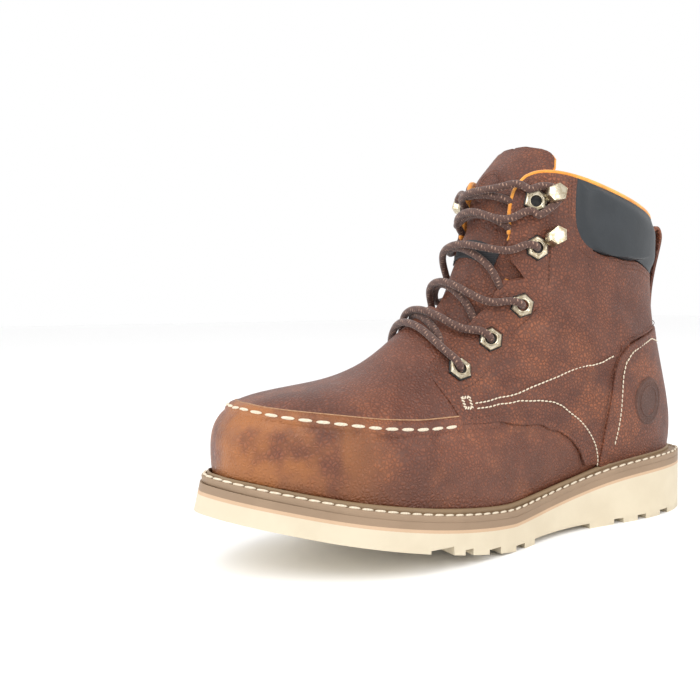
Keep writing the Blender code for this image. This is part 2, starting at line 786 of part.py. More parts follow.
def make_hook(name, at, v, side):
    """A six-sided base with a hole, and behind it the head that the lace goes round."""
    matrix = seat(at, v, side, QUARTER_THICK + 5 * GAP)
    base = prism_on(name, 6, HEX_RADIUS, HEX_THICK, matrix, hidden=False, finish=BRASS)
    neck = prism_on(name + "_neck", 4, 5.2, HEX_THICK * 0.98, matrix, (HOOK_HEAD * 0.62, 0, 0.01), math.pi / 4)
    head = prism_on(name + "_head", 6, HEAD_RADIUS, HEAD_THICK, matrix, (HOOK_HEAD, 0, 0.02), 0.5)
    cut(base, neck, "UNION")
    cut(base, head, "UNION")
    cut(base, prism_on(name + "_hole", 12, HEX_HOLE, 3 * HEX_THICK, matrix, (0, 0, -HEX_THICK)))


def make_lace():
    """The crossings as one solid: two zigzags that meet over the tongue, and a bar."""
    places = [*zip(EYELETS["at"], EYELETS["v"]), *zip(HOOKS["at"], HOOKS["v"])]
    high = QUARTER_THICK + 11 * GAP + HEX_THICK + LACE_RADIUS

    def crossing(first, second, side):
        (at_a, v_a), (at_b, v_b) = places[first], places[second]
        for part in (0.28, 0.5, 0.72):
            v = v_a * (1 - 2 * part) if part <= 0.5 else -v_b * (2 * part - 1)
            lift = LACE_OVER + (high - LACE_OVER) * abs(2 * part - 1)
            yield at_a + (at_b - at_a) * part, side * v, lift

    tubes = []
    for side in (1, -1):
        run = []
        for level, (at, v) in enumerate(places):
            hand = side if level % 2 == 0 else -side
            run.append((at, hand * v, high))
            if level + 1 < len(places):
                run.extend(crossing(level, level + 1, hand))
        tubes.append(run)
    at, v = places[0]
    tubes.append([(at, v * part, high - (1 - abs(part)) * (high - LACE_OVER)) for part in (1, 0.5, 0, -0.5, -1)])
    names = ("lace", "lace_back", "lace_bar")
    made = []
    for name, run in zip(names, tubes):
        at, v, lift = np.array(run).T
        points = smooth_line(skin(at, v, lift), 2)
        made.append(tube(name, points, LACE_RADIUS, hidden=name != "lace"))
    cut(made[0], made[1], "UNION")
    cut(made[0], made[2], "UNION")


def smooth_line(points, steps):
    """A smooth curve through these points."""
    run = np.concatenate([[0], np.cumsum(np.linalg.norm(np.diff(points, axis=0), axis=1))])
    where = np.interp(np.linspace(0, len(run) - 1, (len(run) - 1) * steps + 1), range(len(run)), run)
    return np.stack([Spline(run, column)(where) for column in points.T], axis=1)


def tube(name, points, radius, hidden):
    """A round cord through these points, as a mesh."""
    curve = bpy.data.curves.new(name, "CURVE")
    curve.dimensions = "3D"
    curve.bevel_depth = radius * MM
    curve.bevel_resolution = 1
    curve.use_fill_caps = True
    spline = curve.splines.new("POLY")
    spline.points.add(len(points) - 1)
    for knot, point in zip(spline.points, points):
        knot.co = (*(Vector(point) * MM), 1)
    holder = bpy.data.objects.new(name, curve)
    BOOT.objects.link(holder)
    graph = bpy.context.evaluated_depsgraph_get()
    mesh = bpy.data.meshes.new_from_object(holder.evaluated_get(graph))
    bpy.data.objects.remove(holder)
    bm = bmesh.new()
    bm.from_mesh(mesh)
    return finished(bm, name, CORD, hidden=hidden)


def clear():
    for old in list(bpy.data.objects):
        bpy.data.objects.remove(old)


def new_collection(name):
    made = bpy.data.collections.new(name)
    bpy.context.scene.collection.children.link(made)
    return made


clear()
BOOT = new_collection("wedge_sole_work_boot")
CUTTERS = new_collection("cutters")
CREAM = material("cream_rubber", (0.78, 0.69, 0.54), 0.6)
PEACH = material("peach_line", (0.72, 0.47, 0.28), 0.6)
TAUPE = material("taupe_rubber", (0.32, 0.22, 0.14), 0.55)
LEATHER = material("brown_leather", (0.24, 0.09, 0.04), 0.5)
PAD = material("black_pad", (0.015, 0.017, 0.02), 0.5)
LINING = material("orange_lining", (0.8, 0.36, 0.05), 0.8)
BRASS = material("antique_brass", (0.55, 0.46, 0.32), 0.35, 1.0)
CORD = material("brown_lace", (0.10, 0.045, 0.03), 0.75)
TAG = material("black_tag", (0.01, 0.01, 0.01), 0.7)
HIDDEN = material("cutter", (1, 0, 0), 1.0)
make_sole()
make_welt()
make_upper()
make_quarter()
make_counter()
make_plug()
make_pad()
make_tongue()
make_loop()
for side, hand in ((1, "outer"), (-1, "inner")):
    for number, (at, v) in enumerate(zip(EYELETS["at"], EYELETS["v"]), 1):
        make_eyelet(f"eyelet_{hand}_{number}", at, v, side)
    for number, (at, v) in enumerate(zip(HOOKS["at"], HOOKS["v"]), 1):
        make_hook(f"hook_{hand}_{number}", at, v, side)
make_lace()
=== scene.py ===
"""Looks of the wedge sole work boot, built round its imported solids.

+X points to the toe, +Y to the outer side of the foot, +Z up. Tables hold millimetres.
A place on the upper is (at, v): at runs from the toe (0) to the collar (18) and v goes
round the boot, from the ridge of the instep (0) to the sole or heel seam (1 or -1).
"""

import math

import bmesh
import bpy
import numpy as np
from mathutils import Matrix, Vector


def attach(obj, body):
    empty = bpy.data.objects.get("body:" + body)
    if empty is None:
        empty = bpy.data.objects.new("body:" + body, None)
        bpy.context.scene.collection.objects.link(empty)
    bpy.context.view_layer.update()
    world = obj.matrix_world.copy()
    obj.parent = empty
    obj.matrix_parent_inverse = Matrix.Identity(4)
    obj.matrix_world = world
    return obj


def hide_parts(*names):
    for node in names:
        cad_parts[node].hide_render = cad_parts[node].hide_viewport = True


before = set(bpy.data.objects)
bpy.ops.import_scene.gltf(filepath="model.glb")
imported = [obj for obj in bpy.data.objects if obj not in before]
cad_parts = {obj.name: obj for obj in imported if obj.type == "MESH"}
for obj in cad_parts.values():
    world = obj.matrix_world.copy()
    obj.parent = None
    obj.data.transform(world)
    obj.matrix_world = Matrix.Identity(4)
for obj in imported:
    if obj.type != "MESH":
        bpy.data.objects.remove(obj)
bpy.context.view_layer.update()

MM = 0.001
BODY = "root"

# The last's sizes, the same as in the part
Y_SHIFT = -2.4
LENGTH = 306.0
SPRING_START = 3.0
SPRING_RISE = 32.0
SPRING_POWER = 1.2
TOE_LEAN_START = 90.0
WELT_THICK = 3.2
MIDSOLE_THICK = 3.6
LINE_THICK = 1.0
LIP_RISE = 2.6
VAMP_INSET = 7.3
HEEL_INSET = 9.7
GROOVE_DEEP = 3.0
GAP = 0.3
WALL = 1.8
QUARTER_THICK = 1.3
COUNTER_THICK = 2.4
PAD_THICK = 4.6
TAG_THICK = 0.8
INSOLE_THICK = 4.0
LACE_RADIUS = 2.0
LOOP_WIDE = 22.0
LOOP_THICK = 2.4
INSET_FROM, INSET_TO = -78.0, -48.0
WAIST_FROM, WAIST_TO = -57.0, -12.0


def table(names, *rows):
    """The rows of a table as one array for each named column."""
    columns = zip(*rows)
    return {name: np.array(column, float) for name, column in zip(names.split(), columns)}

OUTLINE = table(
    "x outer inner",
    (-153, 0, 0),
    (-150, 14, 14),
    (-144, 23, 23),
    (-134, 31, 31),
    (-118, 37, 37),
    (-98, 39.5, 38.5),
    (-72, 38.5, 36),
    (-48, 38, 33),
    (-24, 41.5, 33),
    (0, 49, 37),
    (25, 55, 43.5),
    (48, 58, 49.5),
    (68, 58, 53),
    (87, 55, 53),
    (105, 48.5, 49),
    (121, 38.5, 42),
    (134, 28.5, 33),
    (145, 17, 22),
    (151, 7, 10),
    (153, 0, 0),
)

THICKNESS = table(
    "x thick",
    (-153, 36.2),
    (-110, 35.6),
    (-80, 33.2),
    (-50, 28.0),
    (-22, 23.6),
    (10, 21.0),
    (45, 19.1),
    (100, 17.4),
    (153, 16.3),
)

TREAD = table(
    "start end half_wide",
    (-121, -113, 60),
    (-100, -93, 60),
    (-82, -75, 60),
    (-3, 4, 60),
    (16, 24, 60),
    (35, 40, 60),
    (47, 60, 60),
    (74, 80, 40),
    (94, 100, 34),
    (113, 119, 25),
)

# A section runs from the ridge of the instep (top) down to the sole or the heel (low).
# low_rise is the height above the sole's bed, and wide is where along it the boot is widest.
SECTIONS = table(
    "at top_x top_z low_x low_rise outer inner wide crown side ridge turn",
    (0, 142.5, 64.0, 145.6, 0, 0.3, 0.3, 0.60, 2.4, 2.4, 0, 0),
    (1, 141.2, 70.0, 144.0, 0, 12.0, 14.5, 0.60, 2.5, 2.4, 0, 0),
    (2, 136.0, 76.5, 139.0, 0, 20.5, 24.5, 0.60, 2.7, 2.4, -1, 0),
    (3, 127.0, 81.0, 130.5, 0, 28.0, 33.0, 0.62, 2.9, 2.5, -2, 0),
    (4, 114.0, 84.0, 118.0, 0, 37.5, 40.0, 0.64, 2.9, 2.5, -3, 0),
    (5, 95.0, 86.5, 99.0, 0, 46.5, 46.5, 0.66, 2.7, 2.5, -4, 0),
    (6, 74.0, 90.5, 76.0, 0, 51.0, 48.5, 0.68, 2.4, 2.5, -4, 0),
    (7, 55.0, 100.0, 50.0, 0, 51.5, 45.5, 0.72, 2.05, 2.5, -4, 0.5),
    (8, 37.0, 115.0, 20.0, 0, 48.0, 40.0, 0.74, 1.9, 2.5, -4, 1),
    (9, 19.5, 131.0, -14.0, 0, 41.5, 34.5, 0.74, 1.85, 2.5, -3, 2),
    (10, 12.5, 146.0, -52.0, 0, 38.0, 34.0, 0.66, 2.1, 2.5, -2, 3.5),
    (11, 7.5, 159.0, -92.0, 0, 37.0, 34.5, 0.55, 2.3, 2.5, -1, 5),
    (12, 4.3, 168.0, -124.0, 0, 36.8, 35.0, 0.47, 2.45, 2.4, 0, 6),
    (13, 2.3, 174.0, -143.3, 0, 36.6, 35.2, 0.42, 2.5, 2.3, 0, 6.5),
    (14, 0.8, 178.5, -143.6, 27, 36.6, 35.4, 0.40, 2.5, 2.3, 0, 6.5),
    (15, -1.0, 183.5, -137.5, 56, 36.8, 35.8, 0.38, 2.5, 2.2, 0, 6.5),
    (16, -3.2, 188.5, -130.8, 85, 37.2, 36.4, 0.37, 2.5, 2.2, 0, 6.5),
    (17, -6.0, 194.0, -128.8, 115, 37.6, 37.0, 0.36, 2.5, 2.2, 0, 6.5),
    (18, -9.5, 200.0, -129.2, 142, 38.0, 37.4, 0.36, 2.5, 2.2, 0, 6.5),
    (19, -18.5, 209.0, -131.0, 155, 38.2, 37.6, 0.36, 2.5, 2.2, 0, 6.5),
    (20, -27.5, 218.0, -133.0, 166, 38.4, 37.8, 0.36, 2.5, 2.2, 0, 6.5),
)
HEEL_AT = 13.0
COLLAR_AT = 18.0
TURN_ABOUT = -95.0
RIDGE_SHARE = 0.62

# The edge of the throat: how far round the section it lies, from the ridge
THROAT = table(
    "at v",
    (6.9, 0.0),
    (7.0, 0.075),
    (7.2, 0.14),
    (7.5, 0.19),
    (7.8, 0.215),
    (8.2, 0.21),
    (8.7, 0.206),
    (9.4, 0.22),
    (10.0, 0.238),
    (10.7, 0.245),
    (11.4, 0.222),
    (12.0, 0.203),
    (14.0, 0.185),
    (15.4, 0.181),
    (16.4, 0.185),
    (17.0, 0.203),
    (17.5, 0.232),
    (17.8, 0.28),
    (18.0, 0.34),
)

PLUG_SEAM = table(
    "x z", (150, 86), (127.5, 80.0), (118, 78.6), (98, 76), (77, 73), (58, 71.5), (30, 71.8)
)

TONGUE = table(
    "at v",
    (6.5, 0.10),
    (6.9, 0.17),
    (7.5, 0.23),
    (8, 0.26),
    (8.7, 0.29),
    (9.4, 0.31),
    (10, 0.32),
    (11.4, 0.34),
    (13, 0.35),
    (15, 0.36),
    (16.4, 0.36),
    (17.4, 0.36),
    (18, 0.35),
    (18.6, 0.33),
    (19.1, 0.29),
    (19.4, 0.24),
    (19.6, 0.17),
    (19.7, 0.07),
)
TONGUE_FRONT = 9.0
TONGUE_SINK = 2.0
TONGUE_BULGE = 1.4
TONGUE_CLEAR = 0.16
TAG_FROM, TAG_TO, TAG_MIDDLE, TAG_REACH = 10.6, 11.3, 0.03, 0.155

LOOP = table(
    "x z",
    (-134.2, 119),
    (-134.6, 130),
    (-136.6, 143),
    (-140.2, 156),
    (-143.2, 166),
    (-143.4, 172),
    (-140.8, 175.2),
    (-137.6, 173),
    (-136.1, 166),
    (-135.8, 158),
)

# Where the fittings sit on the upper
EYELETS = table("at v", (8.2, 0.301), (9.26, 0.295), (10.52, 0.336))
HOOKS = table("at v", (12.89, 0.312), (15.88, 0.295))


class Spline:
    """A smooth curve through a table's rows, with continuous bending."""

    def __init__(self, at, value):
        self.at, self.value = np.asarray(at, float), np.asarray(value, float)
        count, step = len(self.at), np.diff(self.at)
        slope = np.diff(self.value) / step
        matrix, right = np.eye(count), np.zeros(count)
        for i in range(1, count - 1):
            matrix[i, i - 1 : i + 2] = step[i - 1], 2 * (step[i - 1] + step[i]), step[i]
            right[i] = 6 * (slope[i] - slope[i - 1])
        self.bend = np.linalg.solve(matrix, right)

    def __call__(self, where):
        where = np.clip(where, self.at[0], self.at[-1])
        i = np.clip(np.searchsorted(self.at, where) - 1, 0, len(self.at) - 2)
        step = self.at[i + 1] - self.at[i]
        a, b = (self.at[i + 1] - where) / step, (where - self.at[i]) / step
        bending = (a**3 - a) * self.bend[i] + (b**3 - b) * self.bend[i + 1]
        return a * self.value[i] + b * self.value[i + 1] + bending * step**2 / 6


def outline_side(side):
    """Half of the sole's outline as a dense run of points from heel to toe."""
    x, y = OUTLINE["x"], OUTLINE[side]
    run = np.concatenate([[0], np.cumsum(np.hypot(np.diff(x), np.diff(y)))])
    # A mirrored row at each end makes the outline cross the middle squarely.
    run = np.concatenate([[-run[1]], run, [2 * run[-1] - run[-2]]])
    x = np.concatenate([[x[1]], x, [x[-2]]])
    y = np.concatenate([[-y[1]], y, [-y[-2]]])
    along = np.linspace(0, run[-2], 400)
    return Spline(run, x)(along), Spline(run, y)(along)


OUTLINES = {side: outline_side(side) for side in ("outer", "inner")}


def half_width(x, side, inset=0.0):
    """How far the outline, drawn in by inset, stands from the middle at x."""
    line_x, line_y = OUTLINES[side]
    run_x, run_y = np.gradient(line_x), np.gradient(line_y)
    long = np.hypot(run_x, run_y)
    inner_x, inner_y = line_x + inset * run_y / long, line_y - inset * run_x / long
    return np.interp(x, inner_x, np.maximum(inner_y, 0.0))


THICK = Spline(THICKNESS["x"], THICKNESS["thick"])


def ground(x):
    """Height of the sole's underside, which rises to the toe."""
    along = np.clip((x - SPRING_START) / (LENGTH / 2 - SPRING_START), 0, 2)
    return SPRING_RISE * along**SPRING_POWER


def bent(x, height):
    """The sole's spring: a point above the underside at x leans back with the toe."""
    slope = (ground(x + 1) - ground(x - 1)) / 2
    lean = slope * np.clip((x - TOE_LEAN_START) / (LENGTH / 2 - TOE_LEAN_START), 0, 1)
    return x - lean * height, ground(x) + height


def bed_height(x):
    """Thickness of the sole under the upper: everything but the welt."""
    return THICK(x) - WELT_THICK


COLUMNS = {name: Spline(SECTIONS["at"], SECTIONS[name]) for name in SECTIONS}


def section(at):
    """The section at this place: its two ends in side view and its other sizes."""
    row = {name: column(at) for name, column in COLUMNS.items()}
    rise = np.interp(at, SECTIONS["at"], SECTIONS["low_rise"])
    row["foot_x"] = row["low_x"]
    row["low_x"], row["low_z"] = bent(row["foot_x"], bed_height(row["foot_x"]) + 3 * GAP + rise)
    return row


def feather_inset(x):
    """How far in from the sole's edge the upper meets it: further round the heel."""
    part = np.clip((x - INSET_FROM) / (INSET_TO - INSET_FROM), 0, 1)
    return HEEL_INSET + (VAMP_INSET - HEEL_INSET) * part * part * (3 - 2 * part)


def feather(x, side):
    """Half width of the line where the upper meets the sole."""
    inset = feather_inset(x)
    far, near = half_width(x, side, HEEL_INSET), half_width(x, side, VAMP_INSET)
    part = (inset - VAMP_INSET) / (HEEL_INSET - VAMP_INSET)
    return near + (far - near) * part


def skin(at, v, lift=0.0):
    """A point of the upper. v runs from the ridge (0) to the sole or heel seam (1)
    on the outer side, and to -1 on the inner side. lift is the distance outwards."""
    at, v = np.broadcast_arrays(np.asarray(at, float), np.asarray(v, float))
    middle = shape(at, v)
    if np.isscalar(lift) and lift == 0.0:
        return middle
    return middle + skin_normal(at, v) * np.asarray(lift)[..., None]


def skin_normal(at, v):
    """Which way the skin faces at these places."""
    step = 0.004
    side = np.where(v < 0, -1.0, 1.0)
    inner = np.clip(np.abs(v), 0.02, 0.985)
    first = np.clip(at, 0.12, None)
    across = shape(first, side * (inner + step)) - shape(first, side * (inner - step))
    along = shape(first + 0.05, side * inner) - shape(first - 0.05, side * inner)
    normal = np.cross(across, along) * side[..., None]
    # On the ridge and on the heel seam the two halves share one direction.
    seam = (np.abs(v) < 1e-6) | ((np.abs(v) > 1 - 1e-6) & (at >= HEEL_AT))
    seam |= at < 0.05
    normal[..., 1] = np.where(seam, 0.0, normal[..., 1])
    return normal / np.linalg.norm(normal, axis=-1)[..., None]


def shape(at, v):
    """The points of the last's skin at these places, v below 0 on the inner side."""
    row = section(at)
    side, around = np.where(v < 0, -1.0, 1.0), np.abs(v)
    widest = np.where(v < 0, row["inner"], row["outer"])
    base = np.where(v < 0, feather(row["foot_x"], "inner"), feather(row["foot_x"], "outer"))
    base = base * ((at < HEEL_AT) & (at > 1e-6))
    widest = np.maximum(widest, base + 0.05)
    split = 0.58
    upper = np.clip(around / split, 0, 1) * math.pi / 2
    down = row["wide"] * (1 - np.cos(upper) ** (2 / row["crown"]))
    out = widest * np.sin(upper) ** (2 / row["crown"])
    # Below the widest place the section turns in to the feather, or round to the heel seam.
    ratio = np.clip(base / widest, 0, 0.999)
    reach = (1 - row["wide"]) / (1 - ratio ** row["side"]) ** (1 / row["side"])
    last = np.arccos(ratio ** (row["side"] / 2))
    lower = np.clip((around - split) / (1 - split), 0, 1) * last
    down = np.where(around > split, row["wide"] + reach * np.sin(lower) ** (2 / row["side"]), down)
    out = np.where(around > split, widest * np.cos(lower) ** (2 / row["side"]), out)
    # The first section is the seam at the very tip of the toe.
    out = np.where(at < 1e-6, 0.0, out)
    x = row["top_x"] + (row["low_x"] - row["top_x"]) * down
    z = row["top_z"] + (row["low_z"] - row["top_z"]) * down
    y = side * out + row["ridge"] * np.clip(1 - down / RIDGE_SHARE, 0, 1)
    turn = np.radians(row["turn"]) * np.clip((z - 40) / 60, 0, 1)
    ahead = x - TURN_ABOUT
    x, y = TURN_ABOUT + ahead * np.cos(turn) - y * np.sin(turn), ahead * np.sin(turn) + y * np.cos(turn)
    return np.stack([x, y, z], axis=-1)


def bed(x):
    """Height of the surface that the upper stands on."""
    run = np.linspace(-LENGTH / 2, LENGTH / 2, 200)
    bed_x, bed_z = bent(run, bed_height(run))
    return np.interp(x, bed_x, bed_z)


def v_at_height(at, side, height):
    """How far down the section to go to be this high above the bed."""
    v = np.linspace(1.0, 0.6, 60)
    points = shape(at[:, None] + 0 * v, side * v + 0 * at[:, None])
    rise = points[..., 2] - bed(points[..., 0])
    return np.array([np.interp(height, row, v) for row in rise])


def throat_edge(at):
    """How far round from the ridge the leather starts: nothing on the vamp."""
    return np.interp(at, THROAT["at"], THROAT["v"])


# Edges of the leather pieces, seen from the side
QUARTER_LOW = table(
    "x z",
    (32, 66.8), (8.5, 67.1), (-8, 66), (-19.2, 63.5), (-32, 58.5), (-42.3, 52.3), (-51, 45), (-56, 36),
)
COUNTER_EDGE = table(
    "x z",
    (-67.2, 35.2), (-67.0, 42), (-67.3, 52), (-68.9, 63), (-70.5, 73), (-71.6, 81), (-73.2, 89.5),
    (-77.0, 97.3), (-83.5, 102.6), (-91.5, 105.6), (-100, 107.6), (-111.5, 110.1), (-122.8, 113),
)
COUNTER_SEAM = table(
    "x z",
    (-74.9, 35.6), (-75.9, 40), (-77.2, 48.8), (-78.7, 58), (-79.5, 66), (-79.7, 76), (-79.8, 86),
    (-82.0, 94), (-88.5, 99.6), (-99.4, 103.3), (-110.8, 106.2),
)
# How both runs go on round the back of the heel
COUNTER_BACK = ((15.66, 0.875), (15.85, 0.93), (15.97, 0.975), (16.0, 1.0))
SEAM_BACK = ((15.02, 0.80), (15.3, 0.88), (15.5, 0.94), (15.6, 1.0))
# Rows of stitches on the quarter
UPPER_ROW = table(
    "at v",
    (8.2, 0.402), (8.83, 0.418), (9.62, 0.466), (10.36, 0.524), (11.1, 0.574), (11.7, 0.600), (12.3, 0.615),
)
LOWER_ROW = table(
    "at v",
    (8.2, 0.416), (8.78, 0.432), (9.27, 0.462), (9.72, 0.51), (10.0, 0.546), (10.21, 0.582), (10.41, 0.656),
    (10.51, 0.73), (10.54, 0.81), (10.49, 0.90), (10.44, 0.935),
)
ROUND_ROW = table(
    "at v",
    (7.72, 0.352), (7.97, 0.356), (8.4, 0.354), (8.88, 0.346), (9.4, 0.340), (9.83, 0.343), (10.46, 0.372),
    (11.1, 0.392), (11.86, 0.385), (12.7, 0.370), (14.2, 0.368), (15.0, 0.366),
)
RIM_ROW = table(
    "at v",
    (7.97, 0.434), (8.71, 0.452), (9.39, 0.508), (9.93, 0.585), (10.16, 0.672), (10.23, 0.758),
    (10.21, 0.83), (10.16, 0.92),
)
PAD_EDGE = table(
    "x z",
    (-40.5, 178), (-40.5, 167), (-43, 161), (-48, 157.5), (-57, 155.3), (-69, 154), (-95, 153), (-118, 152.2),
)
# The front of the quarter, from the tab's foot up the throat to the collar
QUARTER_EDGE = table(
    "at v",
    (7.76, 0.444), (7.69, 0.389), (7.61, 0.352), (7.53, 0.311), (7.49, 0.276), (7.54, 0.246),
    (7.66, 0.231), (7.86, 0.223), (8.21, 0.209), (8.51, 0.204), (9.21, 0.213), (9.75, 0.232),
    (9.96, 0.240), (10.29, 0.249), (10.73, 0.265), (11.0, 0.292), (11.25, 0.314), (11.27, 0.280),
    (11.28, 0.240), (11.65, 0.203), (12.17, 0.200), (14.11, 0.183), (15.39, 0.180), (16.20, 0.183),
    (16.95, 0.202), (17.4, 0.222), (17.72, 0.262), (17.9, 0.32), (18.0, 0.40), (18.0, 0.474),
)

MIDDLE_Y = Vector((0.0, Y_SHIFT * MM, 0.0))


def resampled(points, count, power=1.0):
    """The same run of points, evenly spread along its length."""
    points = np.asarray(points, float)
    step = np.linalg.norm(np.diff(points, axis=0), axis=1)
    run = np.concatenate([[0], np.cumsum(step)])
    where = np.linspace(0, 1, count) ** power * run[-1]
    return np.stack([np.interp(where, run, column) for column in points.T], axis=1)


def rounded(points, count, passes=2):
    """A run of points with its corners eased."""
    points = resampled(points, count)
    for _ in range(passes):
        points[1:-1] = (points[:-2] + 2 * points[1:-1] + points[2:]) / 4
    return points


SIDE_AT = np.linspace(0.2, COLLAR_AT, 360)[:, None]
SIDE_V = np.linspace(0.0, 1.0, 301)[None, :]
SIDE_VIEW = shape(SIDE_AT + 0 * SIDE_V, SIDE_V + 0 * SIDE_AT)


def on_skin(x, z):
    """The place (at, v) that the outer side of the boot has at this point in side view."""
    far = (SIDE_VIEW[..., 0] - x) ** 2 + (SIDE_VIEW[..., 2] - z) ** 2
    row, column = np.unravel_index(np.argmin(far), far.shape)
    return SIDE_AT[row, 0], SIDE_V[0, column]


def edge_of(edge):
    """A table of points in side view, as places (at, v)."""
    return np.array([on_skin(x, z) for x, z in zip(edge["x"], edge["z"])])


# How a point is sought on the skin: its steps in at and v, the share taken, and how often
STEP_AT, STEP_V = 0.01, 0.002
SEEK_SHARE = 0.7
SEEK_TIMES = 6


def seen_run(edge, count, back):
    """A smooth run in side view, brought onto the skin, with its last points given as (at, v)."""
    wanted = rounded(np.stack([edge["x"], edge["z"]], axis=1), count, 4)
    found = np.array([on_skin(x, z) for x, z in wanted])
    for _ in range(SEEK_TIMES):
        at, v = found.T
        here = shape(at, v)[:, [0, 2]]
        by_at = (shape(at + STEP_AT, v)[:, [0, 2]] - here) / STEP_AT
        by_v = (here - shape(at, v - STEP_V)[:, [0, 2]]) / STEP_V
        miss = wanted - here
        area = by_at[:, 0] * by_v[:, 1] - by_at[:, 1] * by_v[:, 0]
        area = np.where(np.abs(area) < 1.0, 1.0, area)
        step_at = (miss[:, 0] * by_v[:, 1] - miss[:, 1] * by_v[:, 0]) / area
        step_v = (by_at[:, 0] * miss[:, 1] - by_at[:, 1] * miss[:, 0]) / area
        found[:, 0] += SEEK_SHARE * np.clip(step_at, -5 * STEP_AT, 5 * STEP_AT)
        found[:, 1] = np.clip(found[:, 1] + SEEK_SHARE * np.clip(step_v, -5 * STEP_V, 5 * STEP_V), 0.0, 1.0)
    return np.vstack([found, back])


def pairs(edge):
    """A table of places as one list of pairs."""
    return np.stack([edge["at"], edge["v"]], axis=1)


def finished(bm, name, finish, weld=0.02, smooth=True, angle=40, outward=True):
    """Makes the piece from its bmesh, closes doubled points and puts it on the body."""
    if weld:
        bmesh.ops.remove_doubles(bm, verts=bm.verts, dist=weld * MM)
        bmesh.ops.dissolve_degenerate(bm, edges=bm.edges, dist=0.002 * MM)
    if outward:
        bmesh.ops.recalc_face_normals(bm, faces=bm.faces)
    bmesh.ops.translate(bm, vec=MIDDLE_Y, verts=bm.verts)
    mesh = bpy.data.meshes.new(name)
    bm.to_mesh(mesh)
    bm.free()
    if smooth:
        mesh.shade_smooth()
        mesh.set_sharp_from_angle(angle=math.radians(angle))
    mesh.materials.append(finish)
    piece = bpy.data.objects.new(name, mesh)
    BOOT.objects.link(piece)
    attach(piece, BODY)
    return piece


def grid(columns, rows, bm=None):
    """A flat grid, and where each of its vertices lies: its column and its row."""
    bm = bm or bmesh.new()
    made = bmesh.ops.create_grid(bm, x_segments=columns, y_segments=rows, size=0.5)["verts"]
    low = min(vert.co.x for vert in made)
    place = np.array([(vert.co.x - low, vert.co.y - low) for vert in made])
    place = np.rint(place * (columns, rows)).astype(int)
    return bm, made, place


def lay(made, points):
    """Moves these vertices to these points, which are in millimetres."""
    for vert, point in zip(made, points):
        vert.co = Vector(point) * MM


def unwrap(bm, made, values):
    """Gives these vertices' faces a map, in metres along and across the piece."""
    layer = bm.loops.layers.uv.get("along") or bm.loops.layers.uv.new("along")
    known = dict(zip(made, values))
    for face in bm.faces:
        if face.verts[0] in known and all(vert in known for vert in face.verts):
            for loop in face.loops:
                loop[layer].uv = known[loop.vert]


def sheet(points, bm=None, uv=None):
    """An open sheet through a table of points, a column each for its first index."""
    bm, made, place = grid(points.shape[0] - 1, points.shape[1] - 1, bm)
    lay(made, points[place[:, 0], place[:, 1]])
    if uv is not None:
        unwrap(bm, made, uv[place[:, 0], place[:, 1]])
    return bm


def slab(under, over, joined=None):
    """A closed slab between two tables of points that share their outline. Its rim is
    left open where joined says that it meets its other half."""
    bm, low, place = grid(under.shape[0] - 1, under.shape[1] - 1)
    raised = bmesh.ops.extrude_face_region(bm, geom=list(bm.faces), use_keep_orig=True)["geom"]
    high = [item for item in raised if isinstance(item, bmesh.types.BMVert)]
    # The copies stand where their originals do, so the same reading gives their places.
    base = min(vert.co.x for vert in high)
    spot = np.array([(vert.co.x - base, vert.co.y - base) for vert in high])
    spot = np.rint(spot * (under.shape[0] - 1, under.shape[1] - 1)).astype(int)
    lay(high, over[spot[:, 0], spot[:, 1]])
    lay(low, under[place[:, 0], place[:, 1]])
    if joined is not None:
        met = {vert for vert, (i, j) in zip(low, place) if joined[i, j]}
        met |= {vert for vert, (i, j) in zip(high, spot) if joined[i, j]}
        faces = [face for face in bm.faces if all(vert in met for vert in face.verts)]
        bmesh.ops.delete(bm, geom=faces, context="FACES")
    return bm


def ring_loft(rings, bm=None):
    """A closed tube through rings of points: rings[i, j] is point j of ring i."""
    closed = np.concatenate([rings, rings[:, :1]], axis=1)
    return sheet(closed, bm)


def near_line(points, line):
    """Each point's distance to a run of points."""
    flat = points.reshape(-1, 3)
    least = np.full(len(flat), 1e9)
    for a, b in zip(line[:-1], line[1:]):
        ahead = b - a
        part = np.clip(((flat - a) @ ahead) / max(ahead @ ahead, 1e-9), 0, 1)
        least = np.minimum(least, ((flat - a - part[:, None] * ahead) ** 2).sum(axis=1))
    return np.sqrt(least).reshape(points.shape[:-1])


# Creases of the upper: a run of (at, v), how deep and how wide, in millimetres
CREASES = (
    (((5.9, 0.42), (6.6, 0.50), (7.2, 0.62)), 0.7, 5.0),
    (((6.6, 0.30), (7.0, 0.42), (7.5, 0.60)), 0.5, 4.5),
    (((7.3, 0.52), (8.0, 0.62), (8.8, 0.78)), 0.6, 5.0),
    (((9.2, 0.42), (10.0, 0.52), (10.8, 0.66)), 0.8, 6.0),
    (((10.6, 0.40), (11.6, 0.56), (12.4, 0.74)), 1.0, 7.0),
    (((12.2, 0.36), (13.0, 0.56), (13.4, 0.80)), 0.9, 7.0),
    (((13.6, 0.34), (14.3, 0.50), (14.9, 0.74)), 0.8, 7.0),
    (((9.6, 0.30), (10.6, 0.40), (11.6, 0.44), (12.8, 0.40)), 0.5, 5.0),
)


def creased(at, v):
    """Soft troughs, each with a low ridge beside it, the same on both sides."""
    points = shape(at, np.abs(v))
    depth = np.zeros(at.shape)
    for run, deep, wide in CREASES:
        run = rounded(run, 9)
        line = shape(run[:, 0], run[:, 1])
        far = near_line(points, line) / wide
        depth += -deep * np.exp(-far**2) + 0.45 * deep * np.exp(-((far - 1.6) ** 2) * 1.5)
    return depth


def furrows(points, lines, deep=0.35, wide=0.9):
    """How far the leather is drawn in along its rows of stitches."""
    depth = np.zeros(points.shape[:-1])
    for line in lines:
        depth -= deep * np.exp(-((near_line(points, line) / wide) ** 2))
    return depth


RIM_ROWS = (0.0, 0.22, 0.55, 1.0, 1.7)


